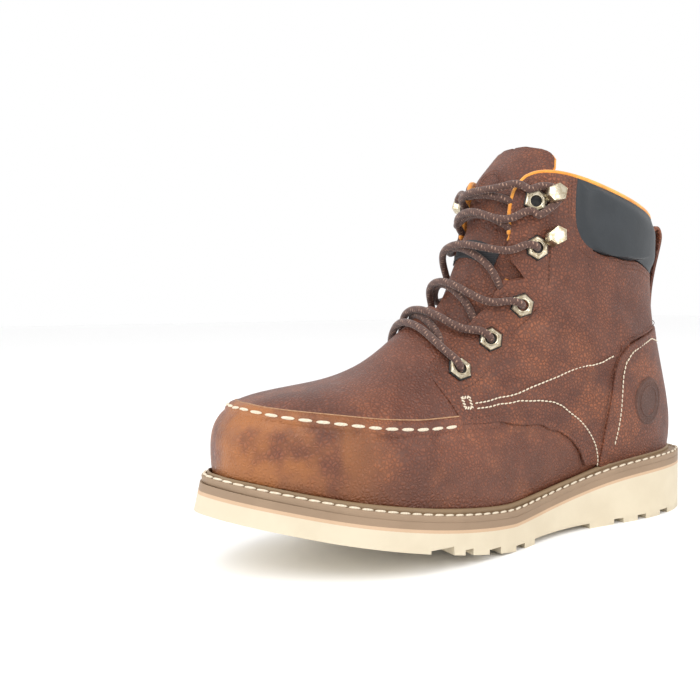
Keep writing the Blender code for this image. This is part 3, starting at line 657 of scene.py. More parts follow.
def rows_between(first, second, count):
    """Places from first to second, in columns of (at, v), set close together at both rims."""
    part = np.linspace(0, 1, 50)[None, :, None]
    path = first[:, None] * (1 - part) + second[:, None] * part
    points = shape(path[..., 0], path[..., 1])
    run = np.cumsum(np.linalg.norm(np.diff(points, axis=1), axis=2), axis=1)
    run = np.concatenate([np.zeros((len(run), 1)), run], axis=1)
    at, v, rim = [], [], []
    met = [(end[:, 1] < 0.005) | (end[:, 1] > 0.995) for end in (first, second)]
    for along, column, near, far in zip(run, path, *met):
        length = max(along[-1], 0.01)
        scale = min(1.0, length / (3 * RIM_ROWS[-1]))
        ends = np.array(RIM_ROWS) * scale
        middle = np.linspace(ends[-1], length - ends[-1], count - 2 * len(ends) + 2)[1:-1]
        where = np.concatenate([ends, middle, length - ends[::-1]])
        at.append(np.interp(where, along, column[:, 0]))
        v.append(np.interp(where, along, column[:, 1]))
        # Where a rim meets its other half, on the ridge or the heel seam, it isn't rounded.
        rim.append(np.minimum(where + 99 * near, length - where + 99 * far))
    return np.array(at), np.array(v), np.array(rim)


def rim_round(rim, radius):
    """Rises from 0 at the rim to 1 a radius in, as a quarter circle."""
    inner = 1 - np.clip(rim / radius, 0, 1)
    return np.sqrt(1 - inner**2)


def gathered(bm, half):
    """Adds one half, turned outwards, to what there is so far."""
    bmesh.ops.recalc_face_normals(half, faces=half.faces)
    spare = bpy.data.meshes.new("half")
    half.to_mesh(spare)
    half.free()
    bm = bm or bmesh.new()
    bm.from_mesh(spare)
    bpy.data.meshes.remove(spare)
    return bm


def panel(
    name, first, second, rows, finish, under, thick, radius=1.0, lines=(), crease=1.0, puff=0.0,
    ends=(False, False),
):
    """A piece of leather on both sides of the boot, between two runs of (at, v)."""
    at, v, rim = rows_between(first, second, rows)
    bm = None
    for side in (1, -1):
        points = shape(at, side * v)
        normal = skin_normal(at, side * v)
        edge = rim.copy()
        for end, at_end in zip((0, -1), ends):
            if at_end:
                edge = np.minimum(edge, np.linalg.norm(points - points[end][None], axis=2))
        rise = thick * (0.45 + 0.55 * rim_round(edge, radius))
        rise += puff * (1 - np.exp(-((edge / 7.0) ** 2)))
        rise += crease * creased(at, v) * np.clip(edge / 4, 0, 1)
        rise += furrows(shape(at, v), lines)
        floor = under + crease * creased(at, v) * np.clip(edge / 4, 0, 1)
        rise = np.maximum(rise, floor - under + 0.5)
        low = points + normal * floor[..., None]
        high = points + normal * (under + rise)[..., None]
        half = slab(low, high, (v < 1e-5) | (v > 1 - 1e-5))
        bm = gathered(bm, half)
    return finished(bm, name, finish)


class Shade:
    """A socket of a material, with arithmetic that adds its nodes."""

    def __init__(self, tree, socket):
        self.tree, self.socket = tree, socket

    def node(self, kind, settings=None, outlet=0, **inputs):
        """Adds a node. Settings come first, then its sockets by name or number."""
        made = self.tree.nodes.new(kind)
        for key, value in (settings or {}).items():
            if key == "stops":
                for stop, (place, colour) in zip(stops_of(made.color_ramp, value), value):
                    stop.position, stop.color = place, (*colour, 1)
            else:
                setattr(made, key, value)
        for key, value in inputs.items():
            slot = made.inputs[int(key[1:])] if key[1:].isdigit() else made.inputs[key.replace("_", " ")]
            if isinstance(value, Shade):
                self.tree.links.new(value.socket, slot)
            else:
                slot.default_value = value
        return Shade(self.tree, made.outputs[outlet])

    def maths(self, operation, first, second=0.0, third=0.0, clamp=False):
        return self.node(
            "ShaderNodeMath", {"operation": operation, "use_clamp": clamp}, s0=first, s1=second, s2=third
        )

    def fraction(self):
        return self.node("ShaderNodeMath", {"operation": "FRACT"}, s0=self)

    def zigzag(self):
        """Goes from 1 down to 0 and up again in each whole step."""
        swing = self.fraction() - 0.5
        return swing.node("ShaderNodeMath", {"operation": "ABSOLUTE"}, s0=swing) * 2.0

    def __add__(self, other):
        return self.maths("ADD", self, other)

    def __radd__(self, other):
        return self.maths("ADD", other, self)

    def __sub__(self, other):
        return self.maths("SUBTRACT", self, other)

    def __rsub__(self, other):
        return self.maths("SUBTRACT", other, self)

    def __mul__(self, other):
        return self.maths("MULTIPLY", self, other)

    def __rmul__(self, other):
        return self.maths("MULTIPLY", other, self)

    def __truediv__(self, other):
        return self.maths("DIVIDE", self, other)

    def __pow__(self, other):
        return self.maths("POWER", self, other)

    def smooth(self, low, high):
        """0 below low and 1 above high, with a soft step between."""
        return self.node("ShaderNodeMapRange", {"interpolation_type": "SMOOTHSTEP"}, s0=self, s1=low, s2=high)

    def blend(self, low, high):
        """A colour from low, where this is 0, to high, where it is 1."""
        low, high = [colour if isinstance(colour, Shade) else (*colour, 1) for colour in (low, high)]
        return self.node("ShaderNodeMix", {"data_type": "RGBA"}, outlet=2, s0=self, s6=low, s7=high)

    def noise(self, scale, detail=3.0, roughness=0.55, outlet=0):
        return self.node(
            "ShaderNodeTexNoise", None, outlet, Vector=self, Scale=scale, Detail=detail, Roughness=roughness
        )

    def cells(self, scale, feature="F1", outlet=0, randomness=1.0):
        return self.node(
            "ShaderNodeTexVoronoi", {"feature": feature}, outlet,
            Vector=self, Scale=scale, Randomness=randomness,
        )

    def part(self, axis):
        return self.node("ShaderNodeSeparateXYZ", None, axis, s0=self)

    def stretched(self, scale):
        return self.node("ShaderNodeMapping", None, 0, Vector=self, Scale=scale)

    def bump(self, height, strength, distance, under=None):
        inputs = {"Height": height, "Strength": strength, "Distance": distance * MM}
        if under is not None:
            inputs["Normal"] = under
        return self.node("ShaderNodeBump", None, 0, **inputs)


def stops_of(ramp, wanted):
    while len(ramp.elements) < len(wanted):
        ramp.elements.new(0.5)
    return ramp.elements


def material(name, slot, **fixed):
    """A new material: its shader's sockets, and the object's own coordinates."""
    made = bpy.data.materials.new(name)
    made.use_nodes = True
    tree = made.node_tree
    shader = tree.nodes["Principled BSDF"]
    for key, value in fixed.items():
        shader.inputs[key.replace("_", " ")].default_value = value
    start = Shade(tree, None)
    own = start.node("ShaderNodeTexCoord", None, 3)

    def give(**values):
        for key, value in values.items():
            tree.links.new(value.socket, shader.inputs[key.replace("_", " ")])

    return made, own, give


def leather(name, slot, deep, middle, light, grain=1.0, rough=0.5, toe=0.0):
    """Pebbled, oiled leather: cells of grain, soft mottling and a burnished toe."""
    made, own, give = material(name, slot, Coat_Roughness=0.42, Specular_IOR_Level=0.42)
    wobble = own.noise(160, 2.0, outlet=1)
    multiply_add = {"operation": "MULTIPLY_ADD"}
    bent_own = own.node("ShaderNodeVectorMath", multiply_add, s0=wobble, s1=(0.0028,) * 3, s2=own)
    seam = bent_own.cells(520, "DISTANCE_TO_EDGE")
    pores = own.cells(1300, "F1")
    fine = own.noise(1500, 3.0)
    broad = own.noise(26, 4.0)
    patches = own.noise(70, 4.0, 0.62)
    cloud = (broad * 0.6 + patches * 0.4).smooth(0.36, 0.64)
    base = cloud.blend(deep, middle)
    warm = own.noise(44, 3.0, 0.5).smooth(0.50, 0.72)
    base = (warm * 0.75).blend(base, light)
    # The hollows between the pebbles are darker.
    hollow = 1.0 - seam.smooth(0.0, 0.30)
    base = (hollow * 0.68 * grain).blend(base, tuple(part * 0.36 for part in deep))
    speck = pores.smooth(0.30, 0.06)
    base = (speck * 0.25).blend(base, tuple(part * 0.5 for part in deep))
    if toe:
        reach = own.part(0).smooth(0.062, 0.125)
        burnish = reach * toe * own.noise(38, 3.0, 0.5).smooth(0.30, 0.56)
        base = burnish.blend(base, (0.36, 0.128, 0.030))
        smoky = reach * own.noise(30, 2.5, 0.5).smooth(0.54, 0.72) * 0.55
        base = smoky.blend(base, (0.115, 0.042, 0.024))
        foot = (1.0 - own.part(2).smooth(0.036, 0.060)) * 0.35
        base = foot.blend(base, (0.09, 0.030, 0.016))
    worn = own.noise(120, 2.0).smooth(0.52, 0.7)
    roughness = rough + 0.10 * cloud - 0.08 * worn + 0.05 * hollow
    height = seam.smooth(0.0, 0.42) * 0.75 + pores.smooth(0.0, 0.5) * 0.18 + fine * 0.16
    soft = own.noise(210, 3.0)
    normal = own.bump(soft, 0.35, 0.5)
    normal = own.bump(height, 1.0 * grain, 0.5, normal)
    coat = 0.10 + 0.16 * cloud
    give(Base_Color=base, Roughness=roughness, Normal=normal, Coat_Weight=coat)
    return made


def rubber(name, slot, colour, shade, rough, speck=0.25, layers=0.0):
    made, own, give = material(name, slot, Specular_IOR_Level=0.32)
    cloud = own.noise(30, 4.0).smooth(0.35, 0.65)
    grit = own.noise(900, 3.0)
    base = (cloud * 0.55).blend(colour, shade)
    pits = own.cells(700).smooth(0.16, 0.02)
    base = (pits * speck).blend(base, tuple(part * 0.7 for part in shade))
    # Patches darker within 6 mm of the bottom.
    low_patches = (1.0 - own.part(2).smooth(0.0, 0.006)) * 0.25
    base = (low_patches * own.noise(90, 3.0).smooth(0.4, 0.6)).blend(base, tuple(part * 0.6 for part in shade))
    height = grit * 0.6 - pits * 0.5
    if layers:
        height = height + own.stretched((4, 4, 600)).noise(3.0, 2.0) * layers
    give(Base_Color=base, Roughness=rough + 0.12 * grit - 0.06, Normal=own.bump(height, 0.35, 0.12))
    return made


def pad_finish():
    """The collar's smooth, faintly bluish black, with a fine pebble."""
    made, own, give = material("black_pad", "black_pad", Specular_IOR_Level=0.45)
    cloud = own.noise(40, 3.0).smooth(0.35, 0.65)
    seam = own.cells(900, "DISTANCE_TO_EDGE").smooth(0.0, 0.3)
    base = cloud.blend((0.0125, 0.0165, 0.0205), (0.021, 0.026, 0.031))
    soft = own.noise(120, 2.0)
    normal = own.bump(soft, 0.3, 0.6)
    normal = own.bump(seam, 0.30, 0.08, normal)
    give(Base_Color=base, Roughness=0.44 + 0.10 * cloud, Normal=normal)
    return made


def mesh_finish():
    """The lining: an orange-yellow honeycomb mesh that follows its own map."""
    made, own, give = material("orange_lining", "orange_lining", Sheen_Weight=0.25, Sheen_Roughness=0.5)
    along = own.node("ShaderNodeUVMap", {"uv_map": "along"})
    hole = along.cells(520, "F1", randomness=0.12).smooth(0.40, 0.22)
    fine = own.noise(2400, 2.0)
    cloud = own.noise(35, 3.0).smooth(0.35, 0.65)
    base = cloud.blend((0.80, 0.30, 0.030), (0.90, 0.40, 0.055))
    base = (hole * 0.62).blend(base, (0.42, 0.12, 0.010))
    give(Base_Color=base, Roughness=0.82 + 0.06 * fine, Normal=own.bump(1.0 - hole + 0.2 * fine, 0.6, 0.35))
    return made


def binding_finish():
    """The thin folded binding of the collar and throat, in the lining's cloth."""
    made, own, give = material("orange_binding", "orange_lining", Sheen_Weight=0.3, Sheen_Roughness=0.5)
    weave = own.cells(1500).smooth(0.0, 0.6)
    cloud = own.noise(60, 3.0).smooth(0.35, 0.65)
    base = cloud.blend((0.72, 0.25, 0.028), (0.88, 0.38, 0.060))
    base = (0.3 - 0.3 * weave).blend(base, (0.45, 0.14, 0.012))
    give(Base_Color=base, Roughness=0.8 + 0.08 * weave, Normal=own.bump(weave, 0.5, 0.15))
    return made


def thread_finish(name, slot, colour, shade):
    """Waxed thread, twisted in fine plies."""
    made, own, give = material(name, slot, Specular_IOR_Level=0.4)
    diagonal = {"wave_type": "BANDS", "bands_direction": "DIAGONAL"}
    ply = own.node("ShaderNodeTexWave", diagonal, 1, Vector=own, Scale=420.0)
    fluff = own.noise(2600, 2.0)
    base = (ply * 0.45 + fluff * 0.3).blend(shade, colour)
    give(Base_Color=base, Roughness=0.55 + 0.25 * fluff, Normal=own.bump(ply + fluff * 0.5, 0.5, 0.12))
    return made


# How many braided strands there are in a metre of lace
BRAID = 560.0


def lace_finish():
    """A round braided lace: dark brown with tan flecks that wind round it."""
    made, own, give = material("brown_lace", "brown_lace", Sheen_Weight=0.2, Sheen_Roughness=0.5)
    along = own.node("ShaderNodeUVMap", {"uv_map": "along"})
    run, turn = along.part(0), along.part(1)
    # The map's second value is one turn round the lace.
    strand = (run * BRAID + turn).zigzag()
    cross = (run * BRAID - turn * 3.0).zigzag()
    three = (run * BRAID / 4 + turn * 3.0).fraction()
    fleck = strand.smooth(0.58, 0.84) * three.smooth(0.45, 0.62) * cross.smooth(0.15, 0.45)
    fluff = own.noise(2200, 2.0)
    base = fluff.blend((0.050, 0.021, 0.015), (0.115, 0.052, 0.037))
    base = (fleck * 0.75).blend(base, (0.42, 0.25, 0.17))
    base = ((1.0 - cross.smooth(0.0, 0.35)) * 0.4).blend(base, (0.022, 0.010, 0.008))
    height = strand * 0.6 + cross * 0.4 + fluff * 0.2
    give(Base_Color=base, Roughness=0.62 + 0.2 * fluff, Normal=own.bump(height, 0.7, 0.28))
    return made


def brass_finish(name="antique_brass", dark=1.0):
    """Antique brass: brighter patches over a darker, worn plate."""
    made, own, give = material(name, "antique_brass", Metallic=1.0)
    wear = own.noise(420, 4.0, 0.6).smooth(0.38, 0.62)
    tarnish = own.noise(150, 3.0).smooth(0.45, 0.75)
    base = wear.blend((0.40 * dark, 0.33 * dark, 0.22 * dark), (0.66 * dark, 0.59 * dark, 0.45 * dark))
    base = (tarnish * 0.6).blend(base, (0.16 * dark, 0.12 * dark, 0.08 * dark))
    normal = own.bump(own.noise(700, 3.0), 0.25, 0.1)
    give(Base_Color=base, Roughness=0.30 + 0.22 * tarnish - 0.08 * wear, Normal=normal)
    return made


def plain_finish(name, slot, low, high, rough, scale=300.0, strength=0.3, metal=0.0):
    made, own, give = material(name, slot, Metallic=metal)
    cloud = own.noise(scale, 3.0)
    base = cloud.smooth(0.3, 0.7).blend(low, high)
    give(Base_Color=base, Roughness=rough + 0.12 * cloud - 0.06, Normal=own.bump(cloud, strength, 0.15))
    return made


def tag_finish():
    """A plain black woven tag."""
    made, own, give = material("black_tag", "black_tag", Sheen_Weight=0.15)
    rib = own.node("ShaderNodeTexWave", {"bands_direction": "Z"}, 1, Vector=own, Scale=300.0)
    thread = own.noise(1800, 2.0)
    base = (rib * 0.5 + thread * 0.5).blend((0.006, 0.006, 0.007), (0.030, 0.030, 0.034))
    give(Base_Color=base, Roughness=0.7 + 0.15 * thread, Normal=own.bump(rib + thread * 0.4, 0.5, 0.15))
    return made


# The sole


def sole_points(height, columns, rows, inset=0.0):
    """A table of points over the sole's plan, at a height above its underside."""
    s, t = np.linspace(0, 1, columns + 1)[:, None], np.linspace(0, 1, rows + 1)[None, :]
    x = -(LENGTH / 2 - inset) * np.cos(math.pi * s) + 0 * t
    outer, inner = half_width(x, "outer", inset), half_width(x, "inner", inset)
    y = np.where((s < 1e-6) | (s > 1 - 1e-6), 0.0, -inner + (inner + outer) * t)
    bent_x, z = bent(x, height(x))
    return np.stack([bent_x, y, z], axis=-1)


def eased(piece, width, segments=2, angle=35):
    """Rounds the piece's sharp edges."""
    bevel = piece.modifiers.new("eased edges", "BEVEL")
    bevel.width, bevel.segments = width * MM, segments
    bevel.limit_method, bevel.angle_limit = "ANGLE", math.radians(angle)
    bevel.harden_normals = False


def make_sole(looks):
    """The wedge with its tread, the thin line over it and the midsole."""
    line_low = WELT_THICK + MIDSOLE_THICK + LINE_THICK + 2 * GAP

    def layer(name, drop, thick, finish, node, columns=170, width=0.3):
        low = sole_points(lambda x: THICK(x) - drop - thick, columns, 6)
        high = sole_points(lambda x: THICK(x) - drop, columns, 6)
        piece = finished(slab(low, high), name, finish)
        eased(piece, width)
        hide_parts(node)

    layer(
        "thin_line", WELT_THICK + MIDSOLE_THICK - 0.05, line_low - WELT_THICK - MIDSOLE_THICK + 0.1,
        looks["peach"], "sole_line", width=0.08,
    )
    layer("midsole_band", WELT_THICK, MIDSOLE_THICK, looks["taupe_band"], "midsole", width=0.12)
    wedge = finished(
        slab(sole_points(lambda x: 0 * x, 180, 10), sole_points(lambda x: THICK(x) - line_low, 180, 10)),
        "wedge_outsole",
        looks["cream"],
    )
    cutters = []
    slots = [*zip(TREAD["start"], TREAD["end"], TREAD["half_wide"]), (WAIST_FROM, WAIST_TO, 60)]
    for number, (start, end, half) in enumerate(slots):
        low = float(ground(np.array((start + end) / 2)))
        bm = bmesh.new()
        made = bmesh.ops.create_cube(bm, size=1.0)["verts"]
        for vert in made:
            # Each slot is a little wider at its mouth.
            flare = 0.9 if vert.co.z < 0 else 0.0
            x = (start - flare if vert.co.x < 0 else end + flare)
            z = low - 20 if vert.co.z < 0 else low + GROOVE_DEEP
            vert.co = Vector((x, half * 2 * vert.co.y, z)) * MM
        bmesh.ops.translate(bm, vec=MIDDLE_Y, verts=bm.verts)
        spare = bpy.data.meshes.new("slot")
        bm.to_mesh(spare)
        bm.free()
        cutter = bpy.data.objects.new(f"slot_{number}", spare)
        bpy.context.scene.collection.objects.link(cutter)
        cut = wedge.modifiers.new("slot", "BOOLEAN")
        cut.operation, cut.object, cut.solver = "DIFFERENCE", cutter, "EXACT"
        cutters.append(cutter)
    applied(wedge, 35)
    for cutter in cutters:
        bpy.data.objects.remove(cutter)
    eased(wedge, 0.5)
    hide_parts("outsole")


def applied(piece, angle=40):
    """The piece's modifiers become part of its mesh."""
    graph = bpy.context.evaluated_depsgraph_get()
    mesh = bpy.data.meshes.new_from_object(piece.evaluated_get(graph))
    piece.modifiers.clear()
    piece.data = mesh
    mesh.shade_smooth()
    mesh.set_sharp_from_angle(angle=math.radians(angle))


LIP_TOP = WELT_THICK + LIP_RISE


def welt_line(at, side, height):
    """A point beside the upper at this height above the bed, and the way out from it."""
    v = v_at_height(at, side, height)
    tip = 1 - np.clip(np.abs(shape(at, side * v)[:, 1]) / 25, 0, 1)
    point = skin(at, side * v, 1.5 * GAP + 1.7 * tip)
    run = np.gradient(point[:, :2], axis=0)
    out = np.stack([-run[:, 1], run[:, 0]], axis=1) * -side
    out[[0, -1], 1] = 0.0
    return point, out / np.linalg.norm(out, axis=1)[:, None]


def welt_frame():
    """Round the boot: the lip's foot, the way out, how far the outline is, and heights."""
    at = np.concatenate([np.linspace(0, 1, 14), np.linspace(1, 12.2, 120)[1:], np.linspace(12.2, 13, 22)[1:]])
    raised = at + (at > 12.9) * 0.0
    rings = []
    for side in (1, -1):
        point = welt_line(raised, side, LIP_TOP - 0.6)[0]
        line_x, line_y = OUTLINES["outer" if side > 0 else "inner"]
        top_x, top_z = bent(line_x, THICK(line_x))
        far = (point[:, :1] - top_x) ** 2 + (point[:, 1:2] - side * line_y) ** 2
        near = np.argmin(far, axis=1)
        near[[0, -1]] = len(line_x) - 1, 0
        rim = np.stack([top_x[near], side * line_y[near]], axis=1)
        point[[0, -1], 1] = rim[[0, -1], 1] = 0.0
        rings.append(np.column_stack([point[:, :2], rim, top_z[near], bed(point[:, 0])]))
    whole = np.concatenate([rings[0], rings[1][-2:0:-1]])
    # The run is eased, so that the strip bends evenly.
    for _ in range(3):
        whole = (np.roll(whole, 1, axis=0) + 2 * whole + np.roll(whole, -1, axis=0)) / 4
    return whole


def strip(frame_rows, profile):
    """Points round the boot of a profile given as (share outwards, mm outwards, height kind, mm up)."""
    inner, outer, top, base = frame_rows[:, :2], frame_rows[:, 2:4], frame_rows[:, 4], frame_rows[:, 5]
    way = outer - inner
    long = np.linalg.norm(way, axis=1)[:, None]
    way = way / long
    points = []
    for share, beyond, level, up in profile:
        # Where the rim is close, as at the toe, the lip is slimmer.
        slim = np.clip((long - 2.4) / 2.75, 0.35, 1) if share == 0 else 1.0
        flat = inner + way * (long * share + beyond * slim)
        # Level 0 is the lip's side and level 1 is the outer rim's.
        height = (base + WELT_THICK) * (1 - level) + top * level + up
        points.append(np.concatenate([flat, height[:, None]], axis=1))
    return np.stack(points, axis=1)


def make_welt(looks):
    """The flat strip round the upper, and the lip that rises on it."""
    ring = welt_frame()
    flat = (
        (0, 0.6, 0, -2.5), (1, -0.25, 1, -3.35), (1, 0.0, 1, -3.05), (1, 0.05, 1, -0.6), (1, -0.1, 1, -0.15),
        (1, -0.4, 1, 0.0), (1, -0.75, 1, 0.0), (1, -0.95, 1, -0.3), (1, -1.75, 1, -0.3),
        (1, -1.95, 1, 0.0), (0, 2.0, 0, 0.0),
    )
    lip = (
        (0, 0.1, 0, -0.6), (0, 2.5, 0, -0.4), (0, 2.75, 0, 0.5), (0, 2.6, 0, 1.5), (0, 2.15, 0, 2.25),
        (0, 1.5, 0, 2.65), (0, 0.8, 0, 2.6), (0, 0.25, 0, 2.1), (0, 0.0, 0, 1.2),
    )
    strips = (("welt_strip", flat, looks["taupe_band"]), ("welt_lip", lip, looks["taupe"]))
    for name, profile, finish in strips:
        rings = strip(ring, profile)
        rings = np.concatenate([rings, rings[:1]])
        piece = finished(ring_loft(rings), name, finish, angle=50)
        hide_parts("welt")
    seam = strip(ring, ((1, -1.3, 1, 0.25),))[:, 0]
    seam = np.concatenate([seam, seam[:1]])
    up = np.tile((0.0, 0.0, 1.0), (len(seam), 1))
    stitch_run("welt_stitches", [(seam, up)], looks["cream_thread"], 6.05, 5.7, 1.35, 1.35, tilt=0.14)


# Stitches and other repeated small pieces


def stitch_run(name, runs, finish, pitch, long, wide, high=None, tilt=0.0, phase=0.5):
    """Stitches laid along each run of points, whose normals say which way is out."""
    bm = bmesh.new()
    high = high or wide
    for points, normals in runs:
        run = np.concatenate([[0], np.cumsum(np.linalg.norm(np.diff(points, axis=0), axis=1))])
        count = max(1, int(run[-1] / pitch))
        for step in range(count):
            where = (step + phase) * run[-1] / count
            spot = Vector([np.interp(where, run, column) for column in points.T])
            ahead = Vector([np.interp(where + 0.5, run, column) for column in points.T])
            back = Vector([np.interp(where - 0.5, run, column) for column in points.T])
            out = Vector([np.interp(where, run, column) for column in normals.T]).normalized()
            ahead = (ahead - back).normalized()
            across = out.cross(ahead).normalized()
            out = ahead.cross(across)
            made = bmesh.ops.create_icosphere(bm, subdivisions=2, radius=0.5)["verts"]
            turn = Matrix((ahead, across, out)).transposed().to_4x4()
            place = Matrix.Translation(spot * MM) @ turn @ Matrix.Rotation(tilt, 4, "Z")
            size = Matrix.Diagonal((long * MM, wide * MM, high * MM, 1))
            # A fuller end keeps each stitch a short run of thread and not a grain.
            for vert in made:
                vert.co.x = math.copysign(abs(vert.co.x * 2) ** 0.72 / 2, vert.co.x)
            bmesh.ops.transform(bm, matrix=place @ size, verts=made)
    return finished(bm, name, finish, weld=0)


def on_both(line, lift):
    """A run of (at, v) on both sides of the boot, as points and normals."""
    line = np.asarray(line, float)
    runs = []
    for side in (1, -1):
        at, v = line[:, 0], side * line[:, 1]
        runs.append((skin(at, v, lift), skin_normal(at, v)))
    return runs


def set_in(line, inset):
    """The run of (at, v) that keeps this distance to one side of another, in millimetres."""
    line = np.asarray(line, float)
    points = shape(line[:, 0], line[:, 1])
    inwards = np.where(line[:, 1] > 0.5, -0.004, 0.004)
    per_at = np.linalg.norm(shape(line[:, 0] - 0.02, line[:, 1]) - points, axis=1) / 0.02
    per_v = np.linalg.norm(shape(line[:, 0], line[:, 1] + inwards) - points, axis=1) / 0.004
    flat = np.stack([line[:, 0] * 0, line[:, 0] * 0], axis=1)
    step = np.gradient(line, axis=0) * np.stack([per_at, per_v], axis=1)
    step /= np.maximum(np.linalg.norm(step, axis=1), 1e-9)[:, None]
    flat[:, 0], flat[:, 1] = -step[:, 1] * inset / per_at, step[:, 0] * inset / per_v
    return rounded(line + flat, len(line), 3)


def tube(name, points, radius, finish, sides=12, flat=1.0, normals=None, ends=True, bm=None):
    """A round cord through these points, with a map along and round it."""
    points = np.asarray(points, float)
    ahead = np.gradient(points, axis=0)
    ahead /= np.linalg.norm(ahead, axis=1)[:, None]
    if normals is None:
        normals = np.zeros_like(points)
        guide = np.array((0.0, 0.0, 1.0)) if abs(ahead[0][2]) < 0.9 else np.array((1.0, 0.0, 0.0))
        for i, way in enumerate(ahead):
            guide = guide - way * (guide @ way)
            guide /= np.linalg.norm(guide)
            normals[i] = guide
    else:
        normals = normals - ahead * (normals * ahead).sum(axis=1)[:, None]
        normals /= np.linalg.norm(normals, axis=1)[:, None]
    across = np.cross(ahead, normals)
    run = np.concatenate([[0], np.cumsum(np.linalg.norm(np.diff(points, axis=0), axis=1))])
    taper = np.ones(len(points))
    if ends:
        nearer = np.clip(np.minimum(run, run[-1] - run) / radius, 0, 1)
        taper = np.sqrt(np.clip(1 - (1 - nearer) ** 2, 0.0, 1))
    angle = np.linspace(0, 2 * math.pi, sides + 1)
    ring = normals[:, None] * (np.sin(angle) * flat)[None, :, None]
    ring = ring + across[:, None] * np.cos(angle)[None, :, None]
    rings = points[:, None] + ring * (radius * taper)[:, None, None]
    uv = np.stack(np.broadcast_arrays(run[:, None] * MM, angle[None] / (2 * math.pi)), axis=-1)
    bm = sheet(rings, bm, uv)
    return bm if name is None else finished(bm, name, finish)


def smooth_line(points, gap):
    """A smooth curve through these points, with a point every gap."""
    points = np.asarray(points, float)
    run = np.concatenate([[0], np.cumsum(np.linalg.norm(np.diff(points, axis=0), axis=1))])
    where = np.linspace(0, run[-1], max(8, int(run[-1] / gap)))
    return np.stack([Spline(run, column)(where) for column in points.T], axis=1)


# The leather


def plug_seam(count=70):
    """The moc toe's seam on the outer side, from the ridge in front back to the quarter."""
    seam_x, seam_z = PLUG_SEAM["x"][::-1], PLUG_SEAM["z"][::-1]
    places = []
    for at in np.concatenate([np.linspace(2.2, 4, 60), np.linspace(4, 8.7, 50)[1:]]):
        v = np.linspace(0, 0.62, 260)
        points = shape(at + 0 * v, v)
        above = points[:, 2] - np.interp(points[:, 0], seam_x, seam_z)
        if above[0] > 0:
            places.append((at, float(np.interp(0, -above, v))))
    first = places[0]
    places.insert(0, (first[0] - 0.02, 0.0))
    return rounded(places, count, 1)


def open_edge(at):
    """The throat's edge with the notch that lets the top of the boot bend."""
    return np.maximum(throat_edge(at), np.interp(at, (10.6, 10.73, 11.27, 11.30), (0.0, 0.262, 0.312, 0.0)))


def make_upper(looks):
    """The vamp and all that shows of the main leather, with its wall turned inwards."""
    # Some sections more stand where the notch turns.
    notch = (10.73, 11.26, 11.28, 11.31)
    at = np.sort(np.concatenate([np.linspace(0, 3, 34), np.linspace(3, COLLAR_AT, 150)[1:], notch]))
    bm = None
    for side in (1, -1):
        edge = open_edge(at)[:, None]
        v = edge + (1 - edge) * np.linspace(0, 1, 66)[None, :]
        where = at[:, None] + 0 * v
        lift = creased(where, v) * np.clip(where / 2, 0, 1)
        points = skin(where, side * v, lift)
        bm = sheet(points, bm)
    bmesh.ops.remove_doubles(bm, verts=bm.verts, dist=0.02 * MM)
    bmesh.ops.recalc_face_normals(bm, faces=bm.faces)
    outward = sum(
        face.calc_area() * face.normal.y * (1 if face.calc_center_median().y > 0 else -1) for face in bm.faces
    )
    if outward < 0:
        bmesh.ops.reverse_faces(bm, faces=bm.faces)
    upper = finished(bm, "vamp_and_shaft", looks["toe_leather"], outward=False)
    wall = upper.modifiers.new("wall", "SOLIDIFY")
    wall.thickness, wall.offset, wall.use_even_offset = WALL * MM, -1, False
    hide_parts("upper")


def make_lining(looks):
    """The mesh lining, which swells under the collar, and the footbed."""
    at = np.linspace(5.6, COLLAR_AT, 120)
    tops = []
    for side in (1, -1):
        edge = open_edge(at)[:, None] + 0.004
        v = edge + (0.999 - edge) * np.linspace(0, 1, 50)[None, :]
        if side < 0:
            v = v[:, ::-1]
        where = at[:, None] + 0 * v
        from_top = np.linalg.norm(shape(where, v) - shape(COLLAR_AT + 0 * v, v), axis=-1)
        swell = 5.0 * np.exp(-(((from_top - 19) / 13.0) ** 2)) * np.clip((v - 0.42) / 0.2, 0, 1)
        tops.append((where, side * v, -WALL - 0.25 - swell))
    # Two halves, each a closed slab, meet at the heel seam and at the ridge.
    bm = None
    for where, v, lift in tops:
        over = skin(where, v, -WALL - 0.12)
        under = skin(where, v, lift - 0.8)
        half = slab(under, over)
        add_map(half, 1.0)
        bm = gathered(bm, half)
    finished(bm, "mesh_lining", looks["lining"], weld=0)
    low = sole_points(lambda x: THICK(x) - WELT_THICK + GAP, 80, 16, HEEL_INSET + WALL + 3.9)
    high = sole_points(lambda x: THICK(x) + INSOLE_THICK - WELT_THICK + GAP, 80, 16, HEEL_INSET + WALL + 3.9)
    dish = 1 - np.abs(np.linspace(-1, 1, 17))[None, :] ** 3
    high[..., 2] -= 0.8 * dish
    bm = slab(low, high)
    add_map(bm, 1.0)
    footbed = finished(bm, "footbed", looks["lining"])
    eased(footbed, 0.9, 3)
    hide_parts("insole")


def add_map(bm, scale):
    """A map by each vertex's height and its run round the boot, in metres."""
    layer = bm.loops.layers.uv.get("along") or bm.loops.layers.uv.new("along")
    for face in bm.faces:
        for loop in face.loops:
            co = loop.vert.co
            turn = math.atan2(co.y, co.x + 0.08) * 0.05
            loop[layer].uv = (turn * scale + co.x * 0.35, co.z * scale + co.x * 0.2)


